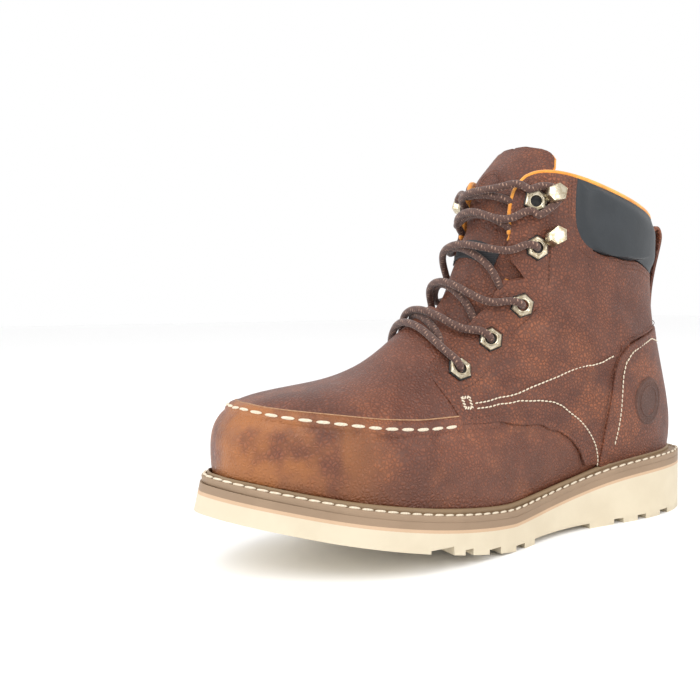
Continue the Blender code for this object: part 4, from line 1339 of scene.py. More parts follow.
def make_panels(looks):
    """The quarter, heel counter, collar pad and toe plug, with their rows of stitches."""
    low = edge_of(QUARTER_LOW)[1:]
    tab_foot = np.array([(7.76, 0.444)])
    low = np.concatenate([tab_foot, [(8.69, 0.471)], low[2:]])
    counter = seen_run(COUNTER_EDGE, 90, COUNTER_BACK)
    pad = edge_of(PAD_EDGE)
    pad[0] = COLLAR_AT, 0.474
    pad[-1][1] = 1.0
    throat = rounded(pairs(QUARTER_EDGE), 210, 1)
    pad_run = rounded(pad, 110, 2)
    over = np.concatenate([throat, pad_run[1:] + (-0.02, 0.0)])
    under_first = rounded(low, 60, 2)
    under_second = rounded(counter + (-0.03, -0.004), 90, 2)
    under = np.concatenate([under_first, under_second])
    count = 230
    # Listed pairs keep the ribs between both rims from crossing.
    share_over = np.interp(np.linspace(0, 1, count), (0, 0.10, 0.42, 0.66, 1), (0, 0.13, 0.44, 0.66, 1))
    share_under = np.interp(np.linspace(0, 1, count), (0, 0.10, 0.42, 0.66, 1), (0, 0.10, 0.42, 0.60, 1))
    over, under = at_shares(over, share_over), at_shares(under, share_under)
    quarter_top, quarter_low = rounded(pairs(UPPER_ROW), 60), rounded(pairs(LOWER_ROW), 80)
    lines = [shape(run[:, 0], run[:, 1]) for run in (quarter_top, quarter_low)]
    quarter = panel("quarter_leather", over, under, 64, looks["leather"], GAP, QUARTER_THICK, 0.7, lines)
    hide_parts("quarter")

    counter_run = rounded(counter, 110, 2)
    counter_seam = rounded(seen_run(COUNTER_SEAM, 90, SEAM_BACK), 120, 1)
    lines = [shape(counter_seam[:, 0], counter_seam[:, 1])]
    heel = panel(
        "counter_leather", counter_run, counter_foot(counter_run), 46, looks["leather"],
        GAP, COUNTER_THICK, 0.9, lines, 0.5,
    )
    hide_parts("heel_counter")

    collar = np.stack([np.full(110, COLLAR_AT), np.linspace(0.474, 1.0, 110)], axis=1)
    pad_piece = panel(
        "collar_padding", pad_run, collar, 40, looks["pad"], GAP, 1.4, 1.6, (), 0.0, puff=PAD_THICK - 1.6,
    )
    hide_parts("collar_pad")

    seam = plug_seam()
    middle = np.stack([seam[:, 0], 0 * seam[:, 1]], axis=1)
    plug = panel("plug_leather", middle, seam, 22, looks["plug_leather"], 0.05, 0.9, 0.6, (), 0.6)
    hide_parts("toe_plug")
    return throat, quarter_top, quarter_low, counter_seam, pad_run, seam


def at_shares(points, shares):
    """The points that lie at these shares of the run's length over the boot."""
    step = np.linalg.norm(np.diff(shape(points[:, 0], points[:, 1]), axis=0), axis=1)
    run = np.concatenate([[0], np.cumsum(step)]) / step.sum()
    return np.stack([np.interp(shares, run, column) for column in points.T], axis=1)


def counter_foot(run):
    """Where each rib of the counter ends: along the welt, then up the heel seam."""
    welt_at = np.linspace(10.5, HEEL_AT, 60)
    v = v_at_height(welt_at, 1, LIP_TOP - 1.4)
    back = [(13.08, 1.0), (13.6, 1.0), (run[-1][0] - 0.25, 1.0)]
    line = np.concatenate([np.stack([welt_at, v], axis=1), back])
    return at_shares(line, np.linspace(0, 1, len(run)))


def make_rows(looks, throat, quarter_top, quarter_low, counter_seam, pad_run, seam):
    """The rows of stitches: cream ones that show, and rows in the leather's own colour."""
    top = GAP + QUARTER_THICK
    cream, brown = looks["cream_thread"], looks["brown_thread"]
    runs = on_both(quarter_top, top - 0.02) + on_both(quarter_low, top - 0.02)
    stitch_run("quarter_stitches", runs, cream, 2.6, 2.25, 0.85, 0.75, tilt=0.1)
    counter_rows = on_both(counter_seam[6:-3], GAP + COUNTER_THICK - 0.1)
    stitch_run("counter_stitches", counter_rows, cream, 2.7, 2.35, 0.85, 0.75, tilt=0.12)
    plug_row = set_in(seam, 4.6)
    # The row ends where the tab lies over it.
    plug_row = plug_row[plug_row[:, 0] < 7.68]
    stitch_run("moc_stitches", moc_runs(plug_row, 1.15), cream, 7.9, 6.5, 1.75, 1.5, tilt=0.05)
    # A small box of bar tacks holds the tab down where both rows end.
    box = [(7.96, 0.372), (7.94, 0.405), (8.10, 0.412), (8.13, 0.378), (7.96, 0.372)]
    bars = on_both(rounded(box[:2], 12, 0), top) + on_both(rounded(box[2:4], 12, 0), top)
    for ends in ([(7.93, 0.374), (8.12, 0.381)], [(7.93, 0.403), (8.09, 0.411)]):
        bars += on_both(rounded(ends, 8, 0), top)
    stitch_run("bar_tacks", bars, cream, 1.35, 2.1, 1.0, 1.0, tilt=0.9)
    plain = []
    for inset in (2.3, 4.4):
        row = set_in(throat, inset)
        plain += on_both(row[6:62], top - 0.03) + on_both(row[84:196], top - 0.03)
    around = rounded(pairs(ROUND_ROW), 110)
    plain += on_both(around, top - 0.03)
    for inset in (2.4, 4.6):
        plain += on_both(set_in(pad_run, inset)[3:-3], top - 0.03)
    plain += on_both(rounded(pairs(RIM_ROW), 90), top - 0.03)
    stitch_run("own_colour_stitches", plain, brown, 2.3, 1.75, 0.62, 0.42, tilt=0.08)
    counter = rounded(seen_run(COUNTER_EDGE, 90, COUNTER_BACK), 110, 2)
    counter_rows = on_both(set_in(counter, -2.2)[4:-4], GAP + COUNTER_THICK - 0.05)
    stitch_run("counter_rim_stitches", counter_rows, brown, 2.3, 1.7, 0.6, 0.4)


def moc_runs(row, lift):
    """The seam's stitches run from one side round the toe to the other."""
    both = np.concatenate([row[::-1], row[1:] * (1, -1)])
    normals = skin_normal(both[:, 0], both[:, 1])
    return [(skin(both[:, 0], both[:, 1], lift), normals)]


# Across the moc rim: millimetres in from the seam, and out from the skin
MOC_PROFILE = (
    (-0.35, 0.1), (-0.3, 0.9), (0.05, 1.35), (0.8, 1.55), (2.4, 1.6), (3.6, 1.35), (4.5, 0.95), (5.3, 1.15),
    (6.3, 0.85), (7.4, 0.25), (8.2, -0.45), (4.0, -0.5),
)
MOC_STEP = 7.9


def make_moc_band(looks, seam):
    """The vamp's turned rim, which lies over the plug's edge and carries the stitches."""
    lines = []
    for inset, lift in MOC_PROFILE:
        row = set_in(seam, inset)
        row[0, 1] = 0.0
        pucker = 0.0
        both = np.concatenate([row[::-1], row[1:] * (1, -1)])
        if 3.0 < inset < 8.0:
            points = shape(both[:, 0], both[:, 1])
            along = np.concatenate([[0], np.cumsum(np.linalg.norm(np.diff(points, axis=0), axis=1))])
            pucker = -0.16 * np.cos(2 * math.pi * along / MOC_STEP) * math.exp(-(((inset - 5.2) / 1.4) ** 2))
        lines.append(skin(both[:, 0], both[:, 1], lift + pucker))
    rings = np.stack(lines, axis=1)
    band = finished(ring_loft(rings), "moc_seam_band", looks["toe_leather"], angle=60)
    cut_edge = skin_run(seam, -0.28, 1.12)
    tube_piece = tube("moc_cut_edge", cut_edge, 0.42, looks["cut_edge"], 8)
    return band, tube_piece


def skin_run(seam, inset, lift):
    """A run beside the seam and over the skin, on both sides of the boot."""
    row = set_in(seam, inset)
    row[0, 1] = 0.0
    both = np.concatenate([row[::-1], row[1:] * (1, -1)])
    return skin(both[:, 0], both[:, 1], lift)


# The tongue


def tongue_lift(at, v):
    """It dips under the vamp in front and stands up a little between the laces."""
    front = np.clip((TONGUE_FRONT - at) / 1.5, 0, 1)
    swell = np.clip(1 - (v / TONGUE_CLEAR) ** 2, 0, 1) * np.clip((at - TONGUE_FRONT) / 2, 0, 1)
    waves = 0.35 * np.sin(at * 2.9) * np.clip((at - 9) / 2, 0, 1) * np.clip((18 - at) / 2, 0, 1)
    return TONGUE_BULGE * swell - TONGUE_SINK * front - WALL - 4 * GAP + waves


def tongue_slab(name, top, bottom, wider, finish, reach=0.0):
    """One layer of the tongue, from bottom to top over its middle, in millimetres."""
    at = resampled(TONGUE["at"][:, None], 110)[:, 0]
    at = np.concatenate([at[:-1], at[-1] + reach * np.array([0.2, 0.5, 0.8, 1.0])])
    half = np.interp(at, TONGUE["at"], TONGUE["v"]) + wider
    half[-4:] = np.array([0.075, 0.055, 0.03, 0.004]) + wider * 0.3
    half = Spline(np.arange(len(half)), half)(np.arange(len(half)))
    t = np.sin(np.linspace(-1, 1, 47) * math.pi / 2)[None, :]
    where, v = at[:, None] + 0 * t, half[:, None] * t
    # The corners at the top are round in plan, and both rims are round in section.
    points = skin(where, v, tongue_lift(where, v))
    edge = np.minimum(
        np.linalg.norm(points - points[:, :1], axis=2), np.linalg.norm(points - points[:, -1:], axis=2)
    )
    edge = np.minimum(edge, np.linalg.norm(points - points[-1:], axis=2))
    full = rim_round(edge, 1.8)
    high = skin(where, v, tongue_lift(where, v) + top - (top - bottom) * 0.45 * (1 - full))
    low = skin(where, v, tongue_lift(where, v) + bottom + (top - bottom) * 0.45 * (1 - full))
    bm = slab(low, high)
    if "lining" in name:
        add_map(bm, 1.0)
    piece = finished(bm, name, finish)
    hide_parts("tongue")
    return piece


def make_tongue(looks):
    """The tongue's leather and lining, its plain tag and a plain ringed design."""
    leather_top = tongue_slab("tongue_leather", 0.0, -1.7, 0.0, looks["leather"])
    lining = tongue_slab("tongue_lining", -1.4, -4.5, 0.016, looks["lining"], 0.14)
    at = np.linspace(TAG_FROM - 0.05, TAG_TO + 0.05, 14)[:, None]
    v = TAG_MIDDLE + np.linspace(-1, 1, 40)[None, :] * TAG_REACH
    where, v = at + 0 * v, v + 0 * at
    low = skin(where, v, tongue_lift(where, v) + 0.05)
    high = skin(where, v, tongue_lift(where, v) + TAG_THICK)
    tag = finished(slab(low, high), "woven_tag", looks["tag"])
    eased(tag, 0.3)
    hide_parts("tongue_tag")
    low_at, high_at, reach = TAG_FROM + 0.04, TAG_TO - 0.04, TAG_REACH - 0.012
    corners = ((low_at, -reach), (high_at, -reach), (high_at, reach), (low_at, reach), (low_at, -reach))
    run = resampled(corners, 160) + (0, TAG_MIDDLE)
    at, v = run.T
    stitch = [(skin(at, v, tongue_lift(at, v) + TAG_THICK), skin_normal(at, v))]
    stitch_run("tag_stitches", stitch, looks["black_thread"], 1.9, 1.5, 0.5, 0.4)
    roundel("tongue_roundel", 16.9, 0.0, looks["leather"], ((9.6, 10.4), (6.9, 7.4)), tongue_lift, 11.2, 0.30)


def roundel(name, at, v, finish, rings, lift_of, reach, high):
    """A plain embossed ring design: no letters, only round ridges."""
    centre = shape(np.array([at]), np.array([v]))[0]
    per_at = (shape(np.array([at + 0.05]), np.array([v]))[0] - centre) / 0.05
    per_v = (shape(np.array([at]), np.array([v + 0.01]))[0] - centre) / 0.01
    matrix = np.stack([per_at, per_v], axis=1)
    up = per_at / np.linalg.norm(per_at)
    flat = per_v - up * (per_v @ up)
    flat /= np.linalg.norm(flat)
    near_rings = [np.linspace(a - 0.25, b + 0.25, 7) for a, b in rings]
    radii = np.unique(np.concatenate([np.linspace(0.4, reach, 34), *near_rings]))
    angle = np.linspace(0, 2 * math.pi, 73)
    r, turn = radii[:, None], angle[None, :]
    inverse = np.linalg.pinv(matrix)
    offset = (up * np.cos(turn)[..., None] + flat * np.sin(turn)[..., None]) * r[..., None]
    place = offset @ inverse.T
    goal = centre + offset
    for _ in range(12):
        place = place + (goal - shape(at + place[..., 0], v + place[..., 1])) @ inverse.T * 0.8
    where, round_v = at + place[..., 0], v + place[..., 1]
    height = np.full(r.shape, -0.04)
    for inner, outer in rings:
        middle, half = (inner + outer) / 2, (outer - inner) / 2 + 0.12
        height = height + high * np.clip(1 - (np.abs(r - middle) / half) ** 4, 0, 1)
    height = height - 0.5 * np.clip((r - reach + 0.7) / 0.7, 0, 1)
    beads = high * 0.8 * np.clip(np.cos(turn * 24) * 2 - 0.9, 0, 1)
    band = np.exp(-(((r - (rings[0][0] + rings[-1][1]) / 2) / 0.65) ** 2))
    height = height + beads * band + 0.10
    points = skin(where, round_v, lift_of(where, round_v) + height)
    bm = sheet(points)
    centre_point = points[0, :-1].mean(axis=0)
    bmesh.ops.remove_doubles(bm, verts=bm.verts, dist=0.01 * MM)
    hub = Vector(centre_point) * MM
    rim = [edge for edge in bm.edges if edge.is_boundary and (edge.verts[0].co - hub).length < 0.8 * MM]
    bmesh.ops.holes_fill(bm, edges=rim, sides=0)
    piece = finished(bm, name, finish, outward=False)
    wall = piece.modifiers.new("wall", "SOLIDIFY")
    wall.thickness, wall.offset = 0.5 * MM, 0
    return piece


# Binding, pull loop and fittings


def make_binding(looks):
    """The thin orange rim of the collar, which runs down both sides of the throat."""
    throat = rounded(pairs(QUARTER_EDGE), 210, 1)
    start = int(np.argmin(np.abs(throat[:, 0] - 12.25) + 5 * (np.arange(210) < 100)))
    front = throat[start:]
    back = np.stack([np.full(70, COLLAR_AT), np.linspace(0.474, 1.0, 70)], axis=1)
    half = rounded(np.concatenate([front, back[1:]]), 200, 1)
    half[-1, 1] = 1.0
    both = np.concatenate([half, half[-2::-1] * (1, -1)])
    up = np.clip((both[:, 0] - 17.2) / 0.6, 0, 1)
    puffy = np.clip((np.abs(both[:, 1]) - 0.46) / 0.08, 0, 1)
    points = skin(both[:, 0], both[:, 1], -0.5 + 1.0 * puffy)
    # On the throat the binding stands out towards the ridge, and on the collar upwards.
    ridge = shape(both[:, 0], both[:, 1] - 0.01 * np.sign(both[:, 1])) - shape(both[:, 0], both[:, 1])
    ridge /= np.maximum(np.linalg.norm(ridge, axis=1), 1e-6)[:, None]
    points = points + ridge * (1 - up)[:, None] * 0.7 + np.array((0, 0, 1.0)) * (up * 0.7)[:, None]
    for _ in range(3):
        points[1:-1] = (points[:-2] + 2 * points[1:-1] + points[2:]) / 4
    normals = skin_normal(both[:, 0], both[:, 1])
    tube("collar_binding", points, 1.55, looks["binding"], 14, normals=normals)
    tufts = []
    for hand in (0, -1):
        tip = points[hand]
        way = (points[hand] - points[3 if hand == 0 else -4])
        way /= np.linalg.norm(way)
        for k in range(5):
            spread = np.array((math.sin(k * 2.4) * 0.8, math.cos(k * 1.7) * 0.8, -0.3))
            middle, end = tip + way * 1.2 + spread * 0.5, tip + way * 2.6 + spread * 1.3
            tufts.append(np.stack([tip - way, middle, end]))
    bm = None
    for run in tufts:
        bm = tube(None, smooth_line(run, 0.6), 0.28, None, 6, bm=bm)
    finished(bm, "binding_tufts", looks["binding"])


def make_loop(looks):
    """The strap folded over on itself at the back of the collar."""
    run = np.concatenate([[0], np.cumsum(np.hypot(np.diff(LOOP["x"]), np.diff(LOOP["z"])))])
    where = np.linspace(0, run[-1], 90)
    x, z = Spline(run, LOOP["x"])(where), Spline(run, LOOP["z"])(where)
    middle = float(skin(16.5, 1.0)[1])
    across = np.sin(np.linspace(-1, 1, 25) * math.pi / 2)
    tangent = np.stack([np.gradient(x), np.gradient(z)], axis=1)
    tangent /= np.linalg.norm(tangent, axis=1)[:, None]
    out = np.stack([-tangent[:, 1], 0 * x, tangent[:, 0]], axis=1)
    half = LOOP_WIDE / 2
    spine = np.stack([x, np.full_like(x, middle), z], axis=1)[:, None]
    spine = spine + np.array((0, 1.0, 0)) * (across * half)[None, :, None]
    full = rim_round((1 - np.abs(across)) * half, 1.1)
    thick = LOOP_THICK / 2 * (0.4 + 0.6 * full)[None, :, None]
    bm = slab(spine - out[:, None] * thick, spine + out[:, None] * thick)
    strap = finished(bm, "pull_strap", looks["leather"])
    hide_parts("pull_loop")
    rows = []
    for hand in (1, -1):
        line = np.stack([x, np.full_like(x, middle + hand * (half - 2.6)), z], axis=1)
        for way in (1, -1):
            rows.append((line[4:70] + way * out[4:70] * (LOOP_THICK / 2 - 0.05), way * out[4:70]))
    stitch_run("strap_stitches", rows, looks["brown_thread"], 2.4, 1.8, 0.65, 0.4)


def seat(at, v, side, lift, aim=(-1.0, 0.0, 0.25)):
    """A frame on the side of the boot: its Z points outwards and its X along aim."""
    point = skin(np.array([at]), np.array([side * v]), lift)[0]
    out = Vector(skin_normal(np.array([at]), np.array([side * v]))[0])
    ahead = Vector(aim)
    ahead = (ahead - out * ahead.dot(out)).normalized()
    turn = Matrix((ahead, out.cross(ahead), out)).transposed().to_4x4()
    return Matrix.Translation(Vector(point)) @ turn


def hexagon(radius, count, turn=0.0):
    """Points spread round a six-sided outline."""
    angle = np.arange(count) * 2 * math.pi / count
    local = (angle + turn) % (math.pi / 3) - math.pi / 6
    reach = radius * math.cos(math.pi / 6) / np.cos(local)
    return np.stack([reach * np.cos(angle), reach * np.sin(angle)], axis=1)


def turned_rings(levels, count=48):
    """Rings of points from (radius, height, is it six-sided) rows."""
    angle = np.arange(count) * 2 * math.pi / count
    rings = []
    for radius, height, six in levels:
        flat = hexagon(radius, count) if six else radius * np.stack([np.cos(angle), np.sin(angle)], axis=1)
        rings.append(np.concatenate([flat, np.full((count, 1), height)], axis=1))
    return np.array(rings)


def placed(rings, matrix):
    """Rings of points, moved to where a fitting sits and joined."""
    local = np.concatenate([rings, np.ones((*rings.shape[:2], 1))], axis=-1)
    points = local @ np.array(matrix).T
    return ring_loft(points[..., :3])


EYELET_RINGS = (
    (6.3, -0.5, 1), (6.3, 0.85, 1), (6.0, 1.25, 1), (5.35, 1.62, 1), (4.45, 1.62, 1), (4.05, 1.5, 0),
    (3.75, 1.25, 0), (3.45, 1.3, 0), (3.1, 1.15, 0), (2.85, 0.7, 0), (2.75, -0.6, 0), (6.3, -0.5, 1),
)
# A dark ring under each fitting: painted shadow, not a part of the fitting
PAINTED_SHADOW_RINGS = (
    (6.95, -1.0, 1), (6.95, 0.05, 1), (6.5, 0.35, 1), (3.2, 0.35, 0), (2.9, -0.3, 0), (0.02, -0.3, 0),
    (0.02, -1.0, 0), (6.95, -1.0, 1),
)


# How far over the quarter the fittings sit, and how each hook leans back
FITTING_LIFT = QUARTER_THICK + 4 * GAP - 0.25
HOOK_LEANS = (0.55, 0.25)


def hook_seat(number, side):
    """Where the first or the second hook sits."""
    lean = (-1.0, 0.0, HOOK_LEANS[number - 1])
    return seat(HOOKS["at"][number - 1], HOOKS["v"][number - 1], side, FITTING_LIFT, lean)


def make_ring(name, word, matrix, looks):
    """A six-sided brass ring, and a dark rim under it that is painted shadow."""
    ring = finished(placed(turned_rings(EYELET_RINGS), matrix), f"{name}_{word}", looks["brass"], angle=24)
    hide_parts(name)
    # The dark rim is painted shadow round the fitting's foot.
    finished(placed(turned_rings(PAINTED_SHADOW_RINGS), matrix), f"{name}_rim", looks["painted_shade_metal"], angle=24)


def make_fittings(looks):
    """Hexagonal eyelets, and hooks whose folded heads hold the lace."""
    for word, side in (("outer", 1), ("inner", -1)):
        for number, (at, v) in enumerate(zip(EYELETS["at"], EYELETS["v"]), 1):
            make_ring(f"eyelet_{word}_{number}", "ring", seat(at, v, side, FITTING_LIFT), looks)
        for number in (1, 2):
            name, matrix = f"hook_{word}_{number}", hook_seat(number, side)
            make_ring(name, "base", matrix, looks)
            make_head(f"{name}_head", matrix, side, looks["brass"])
            throat_piece(f"{name}_neck", matrix, looks["painted_shade_metal"])


def make_head(name, matrix, side, finish):
    """A six-sided block that slants back, with eased edges and a raised middle ridge."""
    outline = (
        (3.6, 0.0, 5.9), (6.2, 4.4, 5.0), (13.0, 5.1, 4.2),
        (16.2, 0.4, 4.6), (13.2, -4.9, 4.2), (6.4, -4.3, 5.0),
    )
    bm = bmesh.new()
    corners = [bm.verts.new(Vector((x, y * side, z - 2.0))) for x, y, z in outline]
    face = bm.faces.new(corners)
    raised = bmesh.ops.extrude_face_region(bm, geom=[face])["geom"]
    top = [item for item in raised if isinstance(item, bmesh.types.BMVert)]
    bmesh.ops.scale(bm, vec=(0.86, 0.86, 1.0), verts=top)
    bmesh.ops.translate(bm, vec=Vector((2.6, 0, 4.6)), verts=top)
    peak = [item for item in raised if isinstance(item, bmesh.types.BMFace)]
    bmesh.ops.inset_region(bm, faces=peak, thickness=0.7, depth=0.25)
    bmesh.ops.poke(bm, faces=peak, offset=0.1, center_mode="MEAN")
    bmesh.ops.recalc_face_normals(bm, faces=bm.faces)
    sharp = [edge for edge in bm.edges if len(edge.link_faces) == 2 and edge.calc_face_angle() > 0.35]
    bmesh.ops.bevel(
        bm, geom=sharp, offset=0.32, offset_type="OFFSET", segments=2, profile=0.5, affect="EDGES",
        material=-1, clamp_overlap=True,
    )
    bmesh.ops.transform(bm, matrix=matrix, verts=bm.verts)
    bmesh.ops.scale(bm, vec=(MM,) * 3, verts=bm.verts)
    return finished(bm, name, finish, weld=0, angle=30)


def throat_piece(name, matrix, finish):
    """The neck under the head, which the lace goes round: a real post, coloured near-black as painted shade.
    """
    rings = turned_rings(((2.6, -1.2, 0), (2.6, 3.6, 0), (3.2, 4.6, 0)), 24)
    rings[..., 0] *= 0.9
    rings[..., 0] += 9.4
    bm = placed(rings, matrix)
    bmesh.ops.remove_doubles(bm, verts=bm.verts, dist=0.01 * MM)
    bmesh.ops.holes_fill(bm, edges=[edge for edge in bm.edges if edge.is_boundary], sides=0)
    return finished(bm, name, finish, angle=40)


# The lace: places and heights in (at, v, millimetres out from the skin)

PLACES = [*zip(EYELETS["at"], EYELETS["v"]), *zip(HOOKS["at"], HOOKS["v"])]


def strand(level, over):
    """From a fitting, over its side of the throat and across the tongue, to just under
    the other side's leather one fitting lower. The strand that lies over arches higher."""
    (at_a, v_a), at_b = PLACES[level], PLACES[level - 1][0]
    edge = float(throat_edge(at_b))
    arch = 5.9 if over else 2.1
    drop = at_a - at_b
    return [
        (at_a, v_a, -2.2),
        (at_a, v_a, 1.8),
        (at_a - 0.02 * drop, v_a - 0.008, 4.2),
        (at_a - 0.14 * drop, v_a - 0.035, 5.0 if over else 4.6),
        (at_a - 0.44 * drop, v_a * 0.76, 5.2 if over else 4.2),
        (at_a - 0.70 * drop, v_a * 0.52, 5.6 if over else 3.0),
        (at_b + 0.16 * drop, 0.03, arch),
        (at_b + 0.08 * drop, -0.10, arch - 0.6),
        (at_b + 0.03 * drop, -edge * 0.78, 2.6 if over else 0.8),
        (at_b - 0.04 * drop, -edge * 0.99, -0.6 if over else -1.0),
        (at_b - 0.08 * drop, -edge * 1.16, -2.3),
    ]


def hook_turn(number, side):
    """Points round the neck of a hook: above it, behind it and below it."""
    matrix = hook_seat(number, side)
    local = ((-2.0, 7.0, 2.3), (4.0, 6.4, 2.5), (8.4, 4.9, 2.6), (11.6, 2.7, 2.5), (12.6, 0.0, 2.4))
    local += tuple((x, -y, z) for x, y, z in local[-2::-1])
    return [np.array(matrix @ Vector((x, y * side, z))) for x, y, z in local]


def laid(places, side):
    """These places, as points over the skin of one side."""
    at, v, lift = np.array(places).T
    return skin(at, v * side, lift)


def make_lace(looks):
    """Three crossings through the eyelets, two at the hooks and a bar at the throat's foot."""
    runs = []
    for over, side in ((True, 1), (False, -1)):
        for level in (1, 2, 3):
            runs.append(laid(strand(level, over), side))
        # Round the top hook: one run goes down to the lower hook's other side, one is the end.
        at_l, at_h = HOOKS["at"]
        edge_h, edge_l = float(throat_edge(at_h)), float(throat_edge(at_l))
        arch = 6.2 if over else 2.6
        end = [
            (at_h - 0.72, -edge_h * 1.16, -2.4),
            (at_h - 0.68, -edge_h * 0.95, -0.6),
            (at_h - 0.62, -edge_h * 0.55, arch * 0.62),
            (at_h - 0.45, 0.02, arch),
            (at_h + 0.10, 0.13, arch - 0.4),
            (at_h + 0.62, 0.215, 4.9 if over else 4.0),
        ]
        down = [
            (at_h - 0.82, 0.292, 4.6 if over else 4.0),
            (at_h - 2.10, 0.196, 4.9 if over else 3.2),
            (at_l + 0.30, 0.03, arch - 0.5),
            (at_l + 0.12, -edge_l * 0.62, 3.0 if over else 1.2),
            (at_l + 0.02, -edge_l * 0.98, -0.6),
            (at_l - 0.10, -edge_l * 1.16, -2.4),
        ]
        runs.append(np.array([*laid(end, side), *hook_turn(2, side), *laid(down, side)]))
    at, v = PLACES[0]
    edge = float(throat_edge(at))
    bar = [
        (at, v, -2.2), (at, v, 1.8), (at - 0.02, v - 0.008, 4.2), (at - 0.10, v - 0.045, 5.0),
        (at - 0.16, edge, 4.4), (at - 0.18, edge * 0.45, 4.2),
    ]
    bar += [(at - 0.19, 0.0, 4.3)] + [(at, -v, lift) for at, v, lift in reversed(bar)]
    runs.append(laid(bar, 1))
    bm = None
    for run in runs:
        bm = tube(None, smooth_line(run, 0.8), LACE_RADIUS, None, 14, bm=bm)
    lace = finished(bm, "braided_lace", looks["lace"], weld=0.01, angle=60)
    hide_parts("lace")


# The floor, the light and the view

VIEW_TURN, VIEW_RISE, VIEW_ROLL = 33.415, 4.557, -0.423
VIEW_FAR = 0.477
VIEW_AIM = Vector((0.0, Y_SHIFT * MM, 0.090))
VIEW_LENS = 43.78
VIEW_SHIFT = (-0.16884, 0.03104)


def make_camera():
    """The photo's view."""
    turn, rise, roll = (math.radians(angle) for angle in (VIEW_TURN, VIEW_RISE, VIEW_ROLL))
    back = Vector((math.sin(turn) * math.cos(rise), math.cos(turn) * math.cos(rise), math.sin(rise)))
    right = Vector((-math.cos(turn), math.sin(turn), 0.0))
    up = back.cross(right)
    level, tall = math.cos(roll) * right + math.sin(roll) * up, math.cos(roll) * up - math.sin(roll) * right
    lens = bpy.data.cameras.new("view")
    lens.lens, lens.sensor_width = VIEW_LENS, 36.0
    lens.shift_x, lens.shift_y = VIEW_SHIFT
    lens.clip_start = 0.01
    camera = bpy.data.objects.new("view", lens)
    turned = Matrix((level, tall, back)).transposed().to_4x4()
    camera.matrix_world = Matrix.Translation(VIEW_AIM + back * VIEW_FAR) @ turned
    bpy.context.scene.collection.objects.link(camera)
    bpy.context.scene.camera = camera


def make_light(name, place, aim, size, watts, colour=(1, 1, 1), tall=None):
    """A soft square light that looks at aim."""
    lamp = bpy.data.lights.new(name, "AREA")
    lamp.energy, lamp.color = watts, colour
    lamp.shape, lamp.size, lamp.size_y = "RECTANGLE", size, tall or size
    holder = bpy.data.objects.new(name, lamp)
    way = Vector(place) - Vector(aim)
    holder.matrix_world = Matrix.Translation(Vector(place)) @ way.to_track_quat("Z", "Y").to_matrix().to_4x4()
    bpy.context.scene.collection.objects.link(holder)


def make_stage():
    """A wide pale floor under a white sky, and three soft lights."""
    bm = bmesh.new()
    bmesh.ops.create_grid(bm, x_segments=24, y_segments=24, size=6.0)
    mesh = bpy.data.meshes.new("floor")
    bm.to_mesh(mesh)
    bm.free()
    floor = bpy.data.objects.new("floor", mesh)
    bpy.context.scene.collection.objects.link(floor)
    paint = bpy.data.materials.new("pale_floor")
    paint.use_nodes = True
    shader = paint.node_tree.nodes["Principled BSDF"]
    shader.inputs["Base Color"].default_value = (0.97, 0.97, 0.97, 1)
    shader.inputs["Roughness"].default_value = 0.75
    mesh.materials.append(paint)
    world = bpy.data.worlds.new("studio")
    world.use_nodes = True
    world.node_tree.nodes["Background"].inputs["Color"].default_value = (1.0, 1.0, 1.0, 1)
    world.node_tree.nodes["Background"].inputs["Strength"].default_value = 1.0
    bpy.context.scene.world = world
    make_light("high_front", (0.75, 0.55, 1.25), (0, 0, 0.08), 0.9, 9.0)
    make_light("outer_side", (-0.55, 1.35, 0.75), (-0.02, 0, 0.10), 0.9, 8.0, (1.0, 0.985, 0.97))
    make_light("toe_side", (1.3, -0.4, 0.6), (0.05, 0, 0.08), 0.7, 5.0)


def counter_top(at, v):
    """How far out the counter's face lies, the same everywhere."""
    return GAP + COUNTER_THICK + 0 * (at + v)


def heel_roundel(looks):
    """A plain ringed design on the counter's outer face, on both sides."""
    at, v = BADGE
    rings = ((12.2, 13.2), (8.4, 9.2))
    for word, side in (("outer", 1), ("inner", -1)):
        roundel(f"heel_roundel_{word}", at, side * v, looks["stamp"], rings, counter_top, 14.2, 0.38)


BADGE = (12.73, 0.744)
BOOT = bpy.data.collections.new("wedge_sole_boot")
bpy.context.scene.collection.children.link(BOOT)

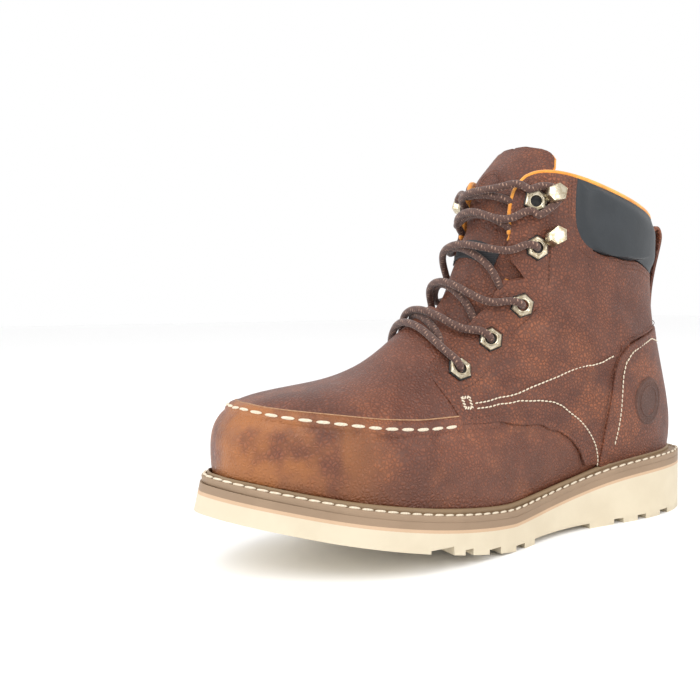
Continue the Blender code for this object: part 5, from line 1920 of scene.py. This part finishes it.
LOOKS = {
    "cream": rubber("cream_rubber", "cream_rubber", (0.64, 0.565, 0.425), (0.56, 0.48, 0.35), 0.58, 0.10),
    "peach": rubber("peach_rubber", "peach_line", (0.57, 0.395, 0.26), (0.50, 0.34, 0.215), 0.6, 0.1),
    "taupe_band": rubber(
        "taupe_band", "taupe_rubber", (0.305, 0.212, 0.138), (0.245, 0.168, 0.108), 0.56, 0.3,
    ),
    "taupe": rubber("taupe_lip", "taupe_rubber", (0.245, 0.165, 0.092), (0.19, 0.125, 0.07), 0.5, 0.3),
    "leather": leather(
        "brown_leather", "brown_leather", (0.120, 0.032, 0.014), (0.205, 0.058, 0.023), (0.300, 0.090, 0.032),
    ),
    "plug_leather": leather(
        "plug_leather", "brown_leather", (0.110, 0.030, 0.014), (0.185, 0.052, 0.022), (0.255, 0.078, 0.030),
        0.75, 0.42,
    ),
    "toe_leather": leather(
        "toe_leather", "brown_leather", (0.125, 0.034, 0.014), (0.215, 0.060, 0.023), (0.305, 0.093, 0.032),
        0.8, 0.42, toe=0.85,
    ),
    "stamp": leather(
        "stamped_leather", "brown_leather",
        (0.075, 0.026, 0.015), (0.105, 0.037, 0.020), (0.135, 0.046, 0.023), 0.6, 0.5,
    ),
    "pad": pad_finish(),
    "lining": mesh_finish(),
    "binding": binding_finish(),
    "cream_thread": thread_finish("cream_thread", "cream_rubber", (0.80, 0.72, 0.58), (0.60, 0.50, 0.37)),
    "brown_thread": thread_finish("brown_thread", "brown_lace", (0.13, 0.045, 0.022), (0.07, 0.024, 0.013)),
    "black_thread": thread_finish("black_thread", "black_tag", (0.05, 0.05, 0.05), (0.02, 0.02, 0.02)),
    "cut_edge": plain_finish("cut_edge", "brown_leather", (0.30, 0.15, 0.07), (0.42, 0.24, 0.13), 0.6, 500.0),
    "lace": lace_finish(),
    "brass": brass_finish(),
    # Near-black metal as painted shade: the shadow rims under the fittings, and the hook necks in the heads'
    # shade
    "painted_shade_metal": plain_finish(
        "painted_shade_metal", "antique_brass", (0.012, 0.012, 0.013), (0.035, 0.032, 0.030), 0.35, 300.0, 0.2, 0.6,
    ),
    "tag": tag_finish(),
}

bpy.context.scene.view_settings.view_transform = "Standard"
make_camera()
make_stage()
make_sole(LOOKS)
make_welt(LOOKS)
make_upper(LOOKS)
make_lining(LOOKS)
EDGES = make_panels(LOOKS)
make_rows(LOOKS, *EDGES)
make_moc_band(LOOKS, EDGES[-1])
make_tongue(LOOKS)
make_binding(LOOKS)
make_loop(LOOKS)
make_fittings(LOOKS)
make_lace(LOOKS)
heel_roundel(LOOKS)
